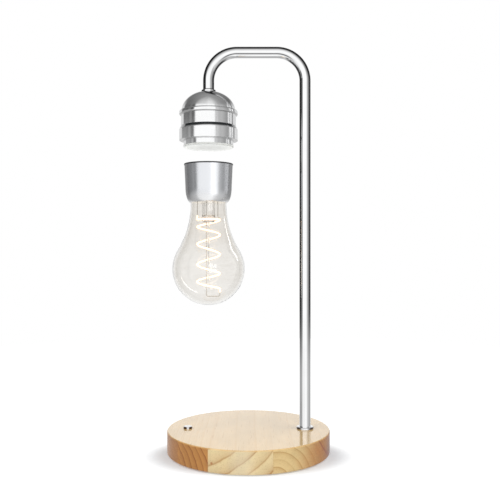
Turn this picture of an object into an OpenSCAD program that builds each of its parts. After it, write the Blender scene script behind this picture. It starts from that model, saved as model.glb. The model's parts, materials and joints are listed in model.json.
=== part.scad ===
// Levitating bulb desk lamp: wooden base, bent chrome arm, magnetic head and a bulb that floats below it.
// Millimetres. The origin lies on the table under the middle of the base, +Z is up, +X points to the pole
// and +Y to the power inlet at the back.

/* [Base] */
// Diameter of the wooden base
base_d = 160; // [144:1:180]
// Thickness of the wooden base
wood_t = 21.5; // [20:0.5:28]
// Rounding of the wooden edges
wood_edge_r = 1.2; // [0.6:0.1:2]
// Width of the wooden rim round the bottom cover
rim_w = 5; // [4:0.5:6]
// Width of the ledge that the bottom cover is screwed to
ledge_w = 7; // [6:0.5:8]
// Gap between the tallest piece in the pocket and the wood above it
pocket_gap = 0.4; // [0.3:0.1:1.5]
// Thickness of the bottom cover
cover_t = 2; // [1.8:0.1:2.4]
// Diameter of the wood screws
wood_screw_d = 3; // [2.6:0.1:3.4]
// Length of the bottom cover's screws
cover_screw_l = 10; // [8:0.5:14]
// Diameter of each foot pad
foot_d = 14; // [10:0.5:18]
// Height of each foot pad
foot_h = 1; // [0.8:0.1:3]
// Distance of the foot pads' middles from the base's edge
foot_inset = 22; // [18:1:30]
// Diameter of the ballast plate
ballast_d = 72; // [60:1:74]
// Thickness of the ballast plate
ballast_t = 6; // [4:0.5:6.5]
// Place of the ballast plate's middle, in front of the base's middle
ballast_y = -12; // [-18:1:-11]
// Radius of the circle that the ballast screws lie on
ballast_screw_r = 24; // [16:1:28]
// Length of the ballast screws in the wood
ballast_screw_bite = 4.5; // [3:0.5:5.5]

/* [Button] */
// Distance of the button's middle from the base's edge
button_inset = 20; // [19:0.5:28]
// Diameter of the button
button_d = 8.5; // [7.6:0.1:9]
// Height of the button above the wood
button_proud = 2; // [1.4:0.1:3]
// Travel of the button
button_travel = 0.8; // [0.4:0.1:1]
// Thickness of the button's retaining flange
button_flange_t = 1.5; // [1.2:0.1:1.8]
// Width of the button's retaining flange beyond the button
button_flange_w = 1.35; // [1:0.05:1.6]
// Wall of the button's guide bush
bush_wall = 0.95; // [0.8:0.05:1.4]
// Wood left over the guide bush
bush_lid_t = 1; // [0.6:0.1:1.6]
// Width of the push switch
switch_w = 6; // [5:0.1:6.2]
// Height of the push switch's body
switch_h = 3.5; // [3.2:0.1:4]
// Diameter of the push switch's plunger
plunger_d = 3.5; // [2.5:0.1:3.8]
// Height of the plunger above the push switch's body
plunger_proud = 1.8; // [1.4:0.1:2.2]
// Length of the plunger inside the push switch's body
plunger_guide = 1.1; // [0.8:0.1:1.4]
// Wire diameter of the button's return spring
spring_wire_d = 0.6; // [0.4:0.05:0.7]
// Gap between the push switch's corners and the spring
spring_gap = 0.2; // [0.1:0.05:0.4]
// Turns of the return spring
spring_turns = 5; // [4:1:6]

/* [Power inlet] */
// Diameter of the inlet hole in the base's edge
inlet_hole_d = 12; // [11:0.5:12.5]
// Depth of the jack's face below the base's edge
inlet_depth = 8; // [6:0.5:9]
// Width of the jack's body
jack_w = 9; // [8.6:0.1:10]
// Height of the jack's body
jack_h = 9; // [8.6:0.1:9.2]
// Length of the jack's body
jack_l = 12.4; // [11:0.1:14]
// Diameter of the jack's round nose
jack_nose_d = 8.4; // [7.6:0.1:8.6]
// Diameter of the jack's socket
socket_d = 5.8; // [5.5:0.1:6.2]
// Depth of the jack's socket
socket_l = 9; // [8:0.5:10]
// Diameter of the jack's centre pin
jack_pin_d = 2; // [1.6:0.1:2.6]

/* [Boards] */
// Thickness of every circuit board
board_t = 1.6; // [1.2:0.1:1.6]
// Height of the standoffs under the base's boards
standoff_h = 1; // [0.8:0.1:1.4]
// Diameter of the standoffs
standoff_d = 5; // [4:0.1:6]
// Width of the control board
control_w = 36; // [32:1:40]
// Length of the control board
control_l = 34; // [31:1:36]
// Width of the switch board
switch_board_w = 11.5; // [11:0.1:12]
// Length of the switch board
switch_board_l = 22; // [21:0.5:23]
// Distance of the board screws from the board's edges
screw_inset = 3; // [2.4:0.1:3.2]
// Diameter of the board screws
board_screw_d = 2; // [1.6:0.1:2.2]
// Diameter of the board screws' heads
board_head_d = 3.8; // [3.4:0.1:4.2]
// Height of the board screws' heads
board_head_h = 1.4; // [1:0.1:1.6]
// Diameter of the switch lead
switch_lead_d = 1.5; // [1:0.1:1.6]

/* [Arm] */
// Overall height of the lamp
overall_h = 400; // [350:1:450]
// Distance of the pole's middle from the base's edge
pole_inset = 24; // [22:0.5:30]
// Distance from the pole to the middle of the head
arm_reach = 95.5; // [90:0.5:110]
// Diameter of the tube
tube_d = 11; // [10:0.1:12]
// Wall of the tube
tube_wall = 1.5; // [1.2:0.1:1.6]
// Width of the shoulders above the tube's turned ends
shoulder_w = 0.5; // [0.4:0.1:0.8]
// Radius of the tube's bends, at its middle
bend_r = 28; // [22:0.5:32]
// Diameter of the ferrule at the pole's foot
ferrule_d = 16.8; // [15:0.1:20]
// Height of the ferrule
ferrule_h = 2; // [1.5:0.1:4]
// Edge chamfer of the ferrule and the collar
ring_chamfer = 0.5; // [0.2:0.1:0.7]
// Width of the tube nuts across their flats
nut_af = 14; // [13:0.1:15]
// Height of the tube nuts
nut_h = 3.5; // [3:0.1:4]
// Diameter of the washer under the wood
washer_d = 18; // [17.5:0.1:20]
// Thickness of that washer
washer_t = 1.2; // [0.8:0.1:1.4]
// Length of the tube's ends beyond their nuts
tube_tail = 1.3; // [0.6:0.1:1.5]
// Diameter of the cable in the tube
cable_d = 2.4; // [2:0.1:3]
// Radius of the cable's bend below the pole
cable_foot_r = 4.8; // [4:0.1:5]
// Radius of the cable's bend towards the control board
cable_turn_r = 8; // [6:0.5:10]

/* [Head] */
// Height of the lamp's top above the head's underside
head_drop = 100; // [96:1:120]
// Thickness of the ivory end cover
end_cover_t = 2; // [1.6:0.1:3]
// Rounding of the end cover's lower edge
end_cover_edge_r = 1.4; // [0.8:0.1:1.5]
// Depth of the end cover's spigot in the cup
end_spigot_h = 2.5; // [2.4:0.1:3]
// Wall of the end cover's spigot
end_spigot_t = 1.6; // [1.2:0.1:2]
// Width by which the bottom cup lies inside the lower ring's side
cup_inset = 4.3; // [4:0.1:5]
// Wall of the bottom cup
cup_wall = 1.5; // [1.2:0.1:1.6]
// Height of the cup that shows below the lower ring
cup_show_h = 5; // [4:0.5:7]
// Width of the lip that hangs the cup in the lower ring
cup_lip_w = 1.5; // [1:0.1:1.6]
// Thickness of that lip
cup_lip_t = 2; // [1.5:0.1:2.5]
// Diameter of the lower ring and the dome's fin
ring_d = 58; // [52:0.1:64]
// Height of the lower ring's straight side
ring_h = 10.6; // [9.5:0.1:12]
// Height of the lower ring's bevel
bevel_h = 3.6; // [3:0.1:4.5]
// Depth of the lip's seat below the top of the lower ring
lip_seat_h = 5.2; // [4.5:0.1:6]
// Width by which the sleeve lies inside the lower ring's side
sleeve_inset = 1.8; // [1.2:0.1:2]
// Height of the sleeve
sleeve_h = 10.8; // [10:0.1:14]
// Wall of the sleeve
sleeve_wall = 3.2; // [2.8:0.1:3.6]
// Depth of the sleeve's spigot in the dome
sleeve_spigot_h = 3.2; // [2:0.1:4]
// Height of the dome's fin
fin_h = 6; // [5:0.1:8]
// Rounding of the fin's lower edge
fin_low_r = 1.5; // [0.8:0.1:1.8]
// Rounding of the lower ring's edge
ring_edge_r = 0.6; // [0.4:0.1:1.2]
// Width by which the dome's foot lies inside the fin's side
dome_inset = 2.4; // [1.8:0.1:2.6]
// Rise of the dome's full half ellipse
dome_rise = 19.4; // [18:0.1:22]
// Height inside the fin at which the dome starts
dome_foot_h = 4.5; // [4.2:0.1:5]
// Wall of the dome
dome_wall = 1.2; // [1:0.05:1.3]
// Thickness of the dome's crown
crown_t = 1.8; // [1.6:0.1:2.4]
// Diameter of the collar on the dome
collar_d = 14.2; // [13:0.1:15]
// Height of that collar
collar_h = 2; // [1.5:0.1:3]

/* [Head inside] */
// Gap between the transmitter coil and the end cover's spigot
sender_gap = 1; // [0.5:0.1:3]
// Bore of the transmitter coil
sender_bore_d = 18; // [14:0.5:22]
// Thickness of the transmitter coil
sender_t = 1.5; // [1.2:0.1:1.5]
// Bore of the transmitter's ferrite disc
ferrite_bore_d = 12; // [10:0.5:16]
// Width of the field sensor
field_sensor_w = 4; // [3:0.1:5]
// Height of the field sensor
field_sensor_h = 1.5; // [1:0.1:2]
// Gap round the sensor board
sensor_board_gap = 0.4; // [0.3:0.1:0.8]
// Gap between the bobbin's flanges and the bottom cup
bobbin_gap = 2.2; // [1:0.1:3]
// Thickness of the bobbin's flanges
flange_t = 1.5; // [1:0.1:2]
// Height of the winding
winding_h = 14.5; // [12:0.5:15]
// Width of the bobbin's flanges beyond the winding
winding_inset = 1; // [0.5:0.1:2]
// Diameter of the iron core
core_d = 13.8; // [12:0.1:16]
// Wall of the bobbin's tube
bobbin_wall = 1.5; // [1.2:0.1:2]
// Gap between the bias magnet and the spacers
bias_gap = 1.5; // [0.5:0.1:2.5]
// Thickness of the bias magnet
bias_t = 4; // [3:0.1:5]
// Gap between the driver board and the sleeve
driver_gap = 1.5; // [1:0.1:2.5]
// Height of the spacers under the driver board
spacer_h = 7; // [5.5:0.1:7.5]
// Diameter of the spacers
spacer_d = 5; // [4:0.1:5.5]
// Distance of the spacers' middles from the bobbin's edge
spacer_inset = 3; // [2.8:0.1:3.2]
// Height of the plug on the driver board
driver_plug_h = 4; // [3:0.1:5]

/* [Bulb] */
// Height of the air gap in which the bulb floats
float_gap = 15.9; // [12:0.1:24]
// Width of the black top disc beyond the cap
disc_overhang = 0.4; // [0.2:0.1:1]
// Thickness of the top disc
disc_t = 1.2; // [0.8:0.1:2]
// Top diameter of the cap
cap_top_d = 47.8; // [43:0.1:53]
// Width by which the cap's side draws in above its rounding
cap_taper = 1; // [0.4:0.1:1.2]
// Height of the cap
cap_h = 36.9; // [36.5:0.1:40]
// Height of the cap's rounded lower part
cap_round_h = 15; // [13:0.1:17]
// Width by which the rounding would draw in over its full height
cap_round_w = 5.4; // [5:0.1:5.5]
// Height by which the rounding's quarter ellipse would reach below the cap's mouth
cap_round_cut = 0.5; // [0.4:0.1:1]
// Wall of the cap
cap_wall = 1.1; // [0.9:0.05:1.2]
// Diameter of the glass
glass_d = 71.4; // [66:0.2:80]
// Width by which the glass neck lies inside the cap's side
neck_inset = 5.2; // [4.9:0.1:5.6]
// Wall of the glass
glass_t = 1; // [0.8:0.05:1.2]
// Height from the middle of the glass ball to the top of its shoulder
shoulder_h = 63.8; // [58:0.2:72]
// Depth of the shoulder's top below the cap's mouth
shoulder_drop = 2; // [0.5:0.1:4]
// Length of the glass neck inside the cap
neck_l = 16; // [14:0.5:17]

/* [Bulb inside] */
// Diameter of the floating magnet
magnet_d = 23.2; // [20:0.1:24]
// Height of the floating magnet
magnet_h = 8.3; // [7:0.1:9]
// Wall of the magnet holder
holder_wall = 1.5; // [1.2:0.1:1.6]
// Floor of the magnet holder
holder_floor = 1.5; // [1.2:0.1:2]
// Gap between the magnet holder and the receiver coil
receiver_gap = 0.3; // [0.2:0.1:0.6]
// Thickness of the receiver coil
receiver_t = 1.5; // [1.2:0.1:2]
// Gap between the receiver board and the cap
receiver_board_gap = 1.3; // [0.5:0.1:2]
// Height of the insert above the cap's mouth
insert_lift = 3.5; // [3:0.1:5]
// Height of the insert's lower step
insert_step_h = 3.5; // [3:0.1:4.5]
// Width of the stop that the glass neck butts against
insert_stop_w = 1.5; // [1:0.1:2]
// Diameter of the glass stem
stem_d = 13; // [11:0.1:14]
// Bore of the glass stem
stem_bore_d = 9; // [7.5:0.1:9.4]
// Thickness of the stem's flare
flare_t = 1.5; // [1:0.1:2]
// Depth of the flare below the top of the glass neck
flare_drop = 1; // [0.5:0.1:2]
// Length of the stem below the cap's mouth
stem_below = 20; // [17:0.5:21]
// Length of the stem's solid tip
stem_tip_h = 5.5; // [4:0.5:7]
// Diameter of the centre rod
rod_d = 1.8; // [1.2:0.1:2]
// Radius of the filament's spiral
spiral_r = 11.2; // [10:0.1:13]
// Diameter of the filament
filament_d = 2; // [1.4:0.1:2.4]
// Turns of the filament below its first, level half turn
spiral_turns = 4; // [3:1:5]
// Depth of the spiral's top below the cap's mouth
spiral_top_drop = 17; // [15:0.5:18]
// Height of the spiral
spiral_h = 68; // [54:1:68]
// Height by which the spiral's middle line swings about an even pitch, flatter at first and then steeper
pitch_swing = 2; // [0:0.1:3]
// Radius with which the filament's upper end turns up and its lower end down
filament_end_r = 2; // [1.8:0.1:2.5]
// Diameter of the lead wires
lead_d = 0.8; // [0.5:0.1:0.9]
// Distance of the long lead wire from the middle
lead_x = 2.2; // [2:0.1:2.6]

/* [Fits] */
// Clearance round pieces that are fitted and stay put
fit = 0.1; // [0.06:0.01:0.15]
// Clearance round pieces that slide or turn
run = 0.1; // [0.05:0.01:0.1]
// Clearance that keeps loose neighbours apart
air = 0.3; // [0.2:0.05:0.4]

/* [Hidden] */
$fn = 64;
// Overshoot of every cutting body
over = 1;
// Steps in a quarter turn of a rounded profile and of a swept wire
round_steps = 6;
wire_steps = 8;

// Levels in the base
cover_top = foot_h + cover_t;
base_top = foot_h + wood_t;
board_z = cover_top + standoff_h;
board_top = board_z + board_t;
web_z = board_top + jack_h + pocket_gap;
web_t = base_top - web_z;
wire_z = board_z + board_t / 2;

// Radii in the base
base_r = base_d / 2;
button_x = button_inset - base_r;
pole_x = base_r - pole_inset;
foot_circle_r = base_r - foot_inset;
recess_r = base_r - rim_w;
pocket_r = recess_r - ledge_w;
cover_screw_r = recess_r - ledge_w / 2;
cover_screw_angles = [45:90:315];
ballast_screw_angles = [30:120:270];
ballast_screw_l = ballast_t + ballast_screw_bite;

// Power inlet and control board, which the jack's place sets
jack_front_y = pocket_r - 2 * air;
jack_face_y = base_r - inlet_depth;
jack_back_y = jack_front_y - jack_l;
jack_z = board_top + jack_h / 2;
jack_overhang = jack_l / 2;
control_back_y = jack_front_y - jack_overhang;
control_front_y = control_back_y - control_l;
plug_w = 6;
plug_h = board_t + 1.4;
plug_y = control_front_y + plug_w;
// Chips as [x, y behind the board's front edge, width, length, height], and cans as [x, y, diameter, height]
control_chips = [[-5, 9, 10, 7, 1.6], [9, 9, 6, 6, 3]];
control_cans = [[-11, 20, 6, 5], [11, 20, 6, 5]];

// Button stack, from the switch board upwards
button_r = button_d / 2;
bush_r = button_r + run + bush_wall;
button_flange_top = web_z - run;
button_flange_z = button_flange_top - button_flange_t;
stem_z = board_top + switch_h + plunger_proud;
stem_r = switch_w / 2;
spring_r = switch_w / sqrt(2) + spring_gap + spring_wire_d / 2;
plunger_well = plunger_guide + button_travel + air;

// Tube
tube_r = tube_d / 2;
tube_bore_r = tube_r - tube_wall;
thread_r = tube_r - shoulder_w;
head_x = pole_x - arm_reach;
top_z = overall_h - tube_r;
ferrule_top = base_top + ferrule_h;
pole_nut_z = web_z - washer_t - nut_h;
pole_end_z = pole_nut_z - tube_tail;

// Levels in the head, from its underside upwards
head_z = overall_h - head_drop;
cup_z = head_z + end_cover_t;
ring_z = cup_z + cup_show_h;
ring_top = ring_z + ring_h + bevel_h;
lip_z = ring_top - lip_seat_h;
lip_top = lip_z + cup_lip_t;
fin_z = ring_top + sleeve_h;
fin_top = fin_z + fin_h;
dome_z = fin_z + dome_foot_h;
ring_r = ring_d / 2;
cup_r = ring_r - cup_inset;
cup_bore_r = cup_r - cup_wall;
lip_r = cup_r + cup_lip_w;
sleeve_r = ring_r - sleeve_inset;
sleeve_bore_r = sleeve_r - sleeve_wall;
dome_r = ring_r - dome_inset;
dome_bore_r = dome_r - dome_wall;
collar_r = collar_d / 2;
// The crown's level is kept to a thousandth, so that what stacks on it meets face to face
crown_z = round(1000 * (dome_z + dome_rise * sqrt(1 - pow(collar_r / dome_r, 2)))) / 1000;
ceiling_z = crown_z - crown_t;
collar_top = crown_z + collar_h;
head_nut_z = ceiling_z - nut_h;
tube_end_z = head_nut_z - tube_tail;

// Levels of what the head holds
sender_z = cup_z;
sensor_board_z = cup_z + end_spigot_h;
ferrite_z = sender_z + sender_t;
bobbin_z = sensor_board_z + board_t;
bobbin_top = bobbin_z + winding_h + 2 * flange_t;
driver_z = bobbin_top + spacer_h;
driver_top = driver_z + board_t;
end_spigot_r = cup_bore_r - fit;
end_spigot_bore_r = end_spigot_r - end_spigot_t;
sender_r = end_spigot_bore_r - sender_gap;
bobbin_r = cup_bore_r - bobbin_gap;
bobbin_bore_r = core_d / 2 + fit;
bobbin_tube_r = bobbin_bore_r + bobbin_wall;
spacer_circle_r = bobbin_r - spacer_inset;
bias_r = spacer_circle_r - spacer_d / 2 - bias_gap;
spacer_angles = [90:120:330];
driver_plug_w = 8;
driver_screw_bite = 5;
// Power transistors: distance of their inner side from the middle, length, width and height
transistor = [9, 7, 6, 2.4];

// Levels in the bulb, from its top downwards
bulb_top = head_z - float_gap;
cap_top = bulb_top - disc_t;
cap_z = cap_top - cap_h;
round_z = cap_z + cap_round_h;
holder_r = magnet_d / 2 + run + holder_wall;
magnet_z = cap_top - run - magnet_h;
holder_z = magnet_z - run - holder_floor;
receiver_board_z = holder_z - board_t;
cap_top_r = cap_top_d / 2;
cap_waist_r = cap_top_r - cap_taper;
cap_bore_r = cap_waist_r - cap_wall;
round_r = cap_waist_r - cap_round_w;
round_full_h = cap_round_h + cap_round_cut;
neck_r = cap_waist_r - neck_inset;
neck_top = cap_z + neck_l;
insert_z = cap_z + insert_lift;
insert_step_z = insert_z + insert_step_h;
// Chips on the receiver board: gap to the magnet holder, width and height
receiver_chip = [1, 3, 2];

// Glass ball, and the hollow arc that leads from it to the neck and touches both
glass_r = glass_d / 2;
shoulder_z = cap_z - shoulder_drop;
ball_z = shoulder_z - shoulder_h;
shoulder_r = (pow(neck_r, 2) + pow(shoulder_h, 2) - pow(glass_r, 2)) / (2 * (glass_r - neck_r));
shoulder_a = asin(shoulder_h / (glass_r + shoulder_r));

// Stem, filament and its leads
stem_bottom = cap_z - stem_below;
flare_top = neck_top - flare_drop;
flare_z = flare_top - flare_t;
lead_top = stem_bottom + stem_tip_h;
spiral_top = cap_z - spiral_top_drop;
spiral_bottom = spiral_top - spiral_h;
spiral_len = 360 * spiral_turns * PI / 180 * spiral_r;
spiral_start = -PI * spiral_r;
top_end_z = spiral_top + filament_end_r + filament_d;
bottom_end_z = spiral_bottom - filament_end_r - filament_d;
lead_bend_r = 2;
support_x = spiral_r - lead_bend_r;
rod_bottom = bottom_end_z + filament_d;
insert_r1 = cap_inner_r(insert_z) - fit;
insert_r2 = cap_inner_r(insert_step_z) - fit;

// Radius of the cap's rounded inner side at a height
function cap_inner_r(z) =
    round_r + (cap_round_w - cap_wall) * sqrt(1 - pow((round_z - z) / (round_full_h - cap_wall), 2));

// Points of an arc about a centre, from one angle to another
function arc(c, r, a, b, steps) =
    [for (i = [0:steps]) let (t = a + (b - a) * i / steps) [c.x + r * cos(t), c.y + r * sin(t)]];

// Points of an ellipse's arc about a centre
function oval(c, r, h, a, b, steps) =
    [for (i = [0:steps]) let (t = a + (b - a) * i / steps) [c.x + r * cos(t), c.y + h * sin(t)]];

// Points of an arc in space, between two square directions from its centre
function bend(c, u, v, r) =
    [for (i = [0:wire_steps]) let (t = 90 * i / wire_steps) c + r * (cos(t) * u + sin(t) * v)];

function unit(v) = v / norm(v);

function along(path, i) = unit(path[min(i + 1, len(path) - 1)] - path[max(i - 1, 0)]);

// Closed tube along a path, as one polyhedron; across holds a direction at each point, not along the path
module swept(path, d, sides, across) {
    last = len(path) - 1;
    points = [for (i = [0:last])
        let (t = along(path, i), u = unit(cross(t, across[i])), v = cross(t, u))
        for (k = [0:sides - 1]) path[i] + d / 2 * (cos(360 * k / sides) * u + sin(360 * k / sides) * v)];
    walls = [for (i = [0:last - 1]) for (k = [0:sides - 1])
        let (a = i * sides + k, b = i * sides + (k + 1) % sides)
        each [[a, a + sides, b], [b, a + sides, b + sides]]];
    ends = [for (k = [1:sides - 2]) each [[0, k, k + 1],
        [last * sides, last * sides + k + 1, last * sides + k]]];
    polyhedron(points, concat(walls, ends));
}

function same(v, path) = [for (p = path) v];

// Solid of revolution about the head's and the bulb's axis
module turned(profile) {
    translate([head_x, 0, 0]) rotate_extrude() polygon(profile);
}

// Plain ring on that axis
module ring(outer, bore, z, h) {
    turned([[bore, z], [outer, z], [outer, z + h], [bore, z + h]]);
}

// Wood screw with a countersunk head, head down at z = 0
module wood_screw(l) {
    r = wood_screw_d / 2;
    rotate_extrude() polygon([[0, 0], [2 * r, 0], [r, r], [r, l], [0, l]]);
}

// Hole for that screw
module wood_screw_hole(l) {
    r = wood_screw_d / 2;
    rotate_extrude() polygon([[0, -over], [2 * r + fit, -over], [2 * r + fit, 0], [r + fit, r],
        [r + fit, l + fit], [0, l + fit]]);
}

// Pan screw with its head on a board's top face, shank down
module pan_screw(l) {
    translate([0, 0, -l]) cylinder(d = board_screw_d, h = l);
    cylinder(d = board_head_d, h = board_head_h);
}

// Hexagon nut standing on z = 0
module tube_nut() {
    difference() {
        cylinder(d = nut_af / cos(30), h = nut_h, $fn = 6);
        translate([0, 0, -over]) cylinder(r = thread_r + fit, h = nut_h + 2 * over);
    }
}

// Places of the base's board screws
module at_board_screws() {
    for (x = [-1, 1], y = [control_front_y + screw_inset, control_back_y - screw_inset])
        translate([x * (control_w / 2 - screw_inset), y, 0]) children();
    for (y = [-1, 1])
        translate([button_x, y * (switch_board_l / 2 - screw_inset), 0]) children();
}

module at_cover_screws() {
    for (a = cover_screw_angles) rotate(a) translate([cover_screw_r, 0, foot_h]) children();
}

module at_ballast_screws() {
    for (a = ballast_screw_angles)
        translate([0, ballast_y, web_z - ballast_t]) rotate(a) translate([ballast_screw_r, 0, 0]) children();
}

module at_spacers() {
    for (a = spacer_angles) translate([head_x, 0, 0]) rotate(a) translate([spacer_circle_r, 0, 0]) children();
}

module wood_base() {
    color("burlywood") difference() {
        rotate_extrude() polygon(concat([[0, foot_h]],
            arc([base_r - wood_edge_r, foot_h + wood_edge_r], wood_edge_r, -90, 0, round_steps),
            arc([base_r - wood_edge_r, base_top - wood_edge_r], wood_edge_r, 0, 90, round_steps),
            [[0, base_top]]));
        translate([0, 0, foot_h - over]) cylinder(r = recess_r, h = cover_t + over);
        translate([0, 0, foot_h]) cylinder(r = pocket_r, h = web_z - foot_h);
        translate([pole_x, 0, web_z - over]) cylinder(r = thread_r + fit, h = web_t + 2 * over);
        translate([button_x, 0, web_z - over]) cylinder(r = bush_r + fit, h = web_t - bush_lid_t + over);
        translate([button_x, 0, web_z]) cylinder(r = button_r + air, h = web_t + over);
        translate([0, jack_front_y, jack_z]) rotate([-90, 0, 0])
            cylinder(d = inlet_hole_d, h = base_r - jack_front_y + over);
        at_cover_screws() wood_screw_hole(cover_screw_l);
        at_ballast_screws() wood_screw_hole(ballast_screw_l);
    }
}

module base_cover() {
    color("black") difference() {
        union() {
            translate([0, 0, foot_h]) cylinder(r = recess_r - fit, h = cover_t);
            at_board_screws() translate([0, 0, foot_h]) cylinder(d = standoff_d, h = cover_t + standoff_h);
        }
        at_cover_screws() wood_screw_hole(cover_screw_l);
        at_board_screws() translate([0, 0, foot_h - over])
            cylinder(r = board_screw_d / 2 + fit, h = cover_t + standoff_h + 2 * over);
    }
}

module cover_screws() {
    color("dimgray") at_cover_screws() wood_screw(cover_screw_l);
}

module foot_pads() {
    color("gray") for (a = [0:90:270]) rotate(a) translate([foot_circle_r, 0, 0])
        cylinder(d = foot_d, h = foot_h);
}

module ballast_plate() {
    color("slategray") difference() {
        translate([0, ballast_y, web_z - ballast_t]) cylinder(d = ballast_d, h = ballast_t);
        at_ballast_screws() wood_screw_hole(ballast_screw_l);
    }
}

module ballast_screws() {
    color("dimgray") at_ballast_screws() wood_screw(ballast_screw_l);
}

module control_board() {
    color("darkgreen") difference() {
        translate([-control_w / 2, control_front_y, board_z]) cube([control_w, control_l, board_t]);
        at_board_screws() translate([0, 0, board_z - over])
            cylinder(r = board_screw_d / 2 + fit, h = board_t + 2 * over);
    }
}

// Two edge plugs, a chip, a choke and two capacitors
module control_parts() {
    color("dimgray") {
        for (x = [control_w / 2, -control_w / 2 - plug_w])
            translate([x, plug_y - plug_w / 2, wire_z - plug_h / 2]) cube([plug_w, plug_w, plug_h]);
        for (c = control_chips)
            translate([c[0], control_front_y + c[1], board_top]) cube([c[2], c[3], c[4]]);
        for (c = control_cans)
            translate([c[0], control_front_y + c[1], board_top]) cylinder(d = c[2], h = c[3]);
    }
}

module board_screws() {
    color("silver") at_board_screws() translate([0, 0, board_top])
        pan_screw(board_t + standoff_h + cover_t / 2);
}

// Jack on the control board: a square body, a round nose in the inlet hole, a socket and its centre pin
module power_jack() {
    nose_l = jack_face_y - jack_front_y;
    color("black") {
        difference() {
            union() {
                translate([-jack_w / 2, jack_back_y, board_top]) cube([jack_w, jack_l, jack_h]);
                translate([0, jack_front_y - over, jack_z]) rotate([-90, 0, 0])
                    cylinder(d = jack_nose_d, h = nose_l + over);
            }
            translate([0, jack_face_y - socket_l, jack_z]) rotate([-90, 0, 0])
                cylinder(d = socket_d, h = socket_l + over);
        }
        translate([0, jack_face_y - socket_l - over, jack_z]) rotate([-90, 0, 0])
            cylinder(d = jack_pin_d, h = socket_l);
    }
}

module switch_board() {
    color("darkgreen") difference() {
        translate([button_x - switch_board_w / 2, -switch_board_l / 2, board_z])
            cube([switch_board_w, switch_board_l, board_t]);
        at_board_screws() translate([0, 0, board_z - over])
            cylinder(r = board_screw_d / 2 + fit, h = board_t + 2 * over);
    }
}

module push_switch() {
    color("dimgray") difference() {
        translate([button_x - switch_w / 2, -switch_w / 2, board_top]) cube([switch_w, switch_w, switch_h]);
        translate([button_x, 0, board_top + switch_h - plunger_well])
            cylinder(r = plunger_d / 2 + run, h = plunger_well + over);
    }
}

module switch_plunger() {
    color("ivory") translate([button_x, 0, stem_z - plunger_proud - plunger_guide])
        cylinder(d = plunger_d, h = plunger_proud + plunger_guide);
}

// Lead from the switch board to the control board's left plug, above the bottom cover
module switch_lead() {
    r = 4 * switch_lead_d;
    start_x = button_x + switch_board_w / 2;
    mid_x = (start_x - control_w / 2 - plug_w) / 2;
    path = concat([[start_x, 0, wire_z]],
        bend([mid_x - r, r, wire_z], [0, -1, 0], [1, 0, 0], r),
        bend([mid_x + r, plug_y - r, wire_z], [-1, 0, 0], [0, 1, 0], r),
        [[-control_w / 2 - plug_w, plug_y, wire_z]]);
    color("red") swept(path, switch_lead_d, 8, same([0, 0, 1], path));
}

module button_bush() {
    color("dimgray") translate([button_x, 0, web_z]) difference() {
        cylinder(r = bush_r, h = web_t - bush_lid_t);
        translate([0, 0, -over]) cylinder(r = button_r + run, h = web_t + 2 * over);
    }
}

// Return spring between the switch board and the button's flange, with level ends
module button_spring() {
    steps = 12 * spring_turns;
    low = board_top + spring_wire_d / 2;
    rise = button_flange_z - board_top - spring_wire_d;
    path = [for (i = [0:steps]) let (a = 360 * spring_turns * i / steps)
        [button_x + spring_r * cos(a), spring_r * sin(a), low + rise * i / steps]];
    color("silver") swept(path, spring_wire_d, 6, same([0, 0, 1], path));
}

module button_cap() {
    color("silver") translate([button_x, 0, 0]) rotate_extrude() polygon([
        [0, stem_z], [stem_r, stem_z], [stem_r, button_flange_z],
        [button_r + button_flange_w, button_flange_z], [button_r + button_flange_w, button_flange_top],
        [button_r, button_flange_top], [button_r, base_top + button_proud - ring_chamfer],
        [button_r - ring_chamfer, base_top + button_proud], [0, base_top + button_proud]]);
}

// Chamfered ring round one of the tube's turned ends
module tube_ring(r, z, h) {
    rotate_extrude() polygon([[thread_r + fit, z], [r, z], [r, z + h - ring_chamfer],
        [r - ring_chamfer, z + h], [thread_r + fit, z + h]]);
}

module pole_ferrule() {
    color("silver") translate([pole_x, 0, 0]) tube_ring(ferrule_d / 2, base_top, ferrule_h);
}

module pole_washer() {
    color("silver") translate([pole_x, 0, web_z - washer_t]) difference() {
        cylinder(d = washer_d, h = washer_t);
        translate([0, 0, -over]) cylinder(r = thread_r + fit, h = washer_t + 2 * over);
    }
}

module pole_nut() {
    color("silver") translate([pole_x, 0, pole_nut_z]) tube_nut();
}

// Upright bar of radius r from a height up to its quarter bend, which leads back over the origin
module arm_side(r, low) {
    translate([bend_r, 0, low]) cylinder(r = r, h = top_z - bend_r - low);
    translate([0, 0, top_z - bend_r]) rotate([90, 0, 0])
        rotate_extrude(angle = 90) translate([bend_r, 0]) circle(r = r);
}

// Pole, first bend, top run, second bend and drop, as one round bar of radius r between two end heights
module arm_bar(r, pole_low, drop_low) {
    translate([pole_x - bend_r, 0, 0]) arm_side(r, pole_low);
    translate([head_x + bend_r, 0, 0]) {
        translate([0, 0, top_z]) rotate([0, 90, 0]) cylinder(r = r, h = arm_reach - 2 * bend_r);
        mirror([1, 0, 0]) arm_side(r, drop_low);
    }
}

// Turned-down end of the tube, between two heights
module tube_end(x, low, high) {
    translate([x, 0, 0]) rotate_extrude() polygon([[tube_bore_r, low], [thread_r, low],
        [thread_r, high], [tube_bore_r, high]]);
}

// Bent tube; the shoulders above its turned ends sit on the ferrule and on the collar
module arm_tube() {
    color("silver") {
        difference() {
            arm_bar(tube_r, ferrule_top, collar_top);
            arm_bar(tube_bore_r, ferrule_top - over, collar_top - over);
        }
        tube_end(pole_x, pole_end_z, ferrule_top);
        tube_end(head_x, tube_end_z, collar_top);
    }
}

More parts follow.
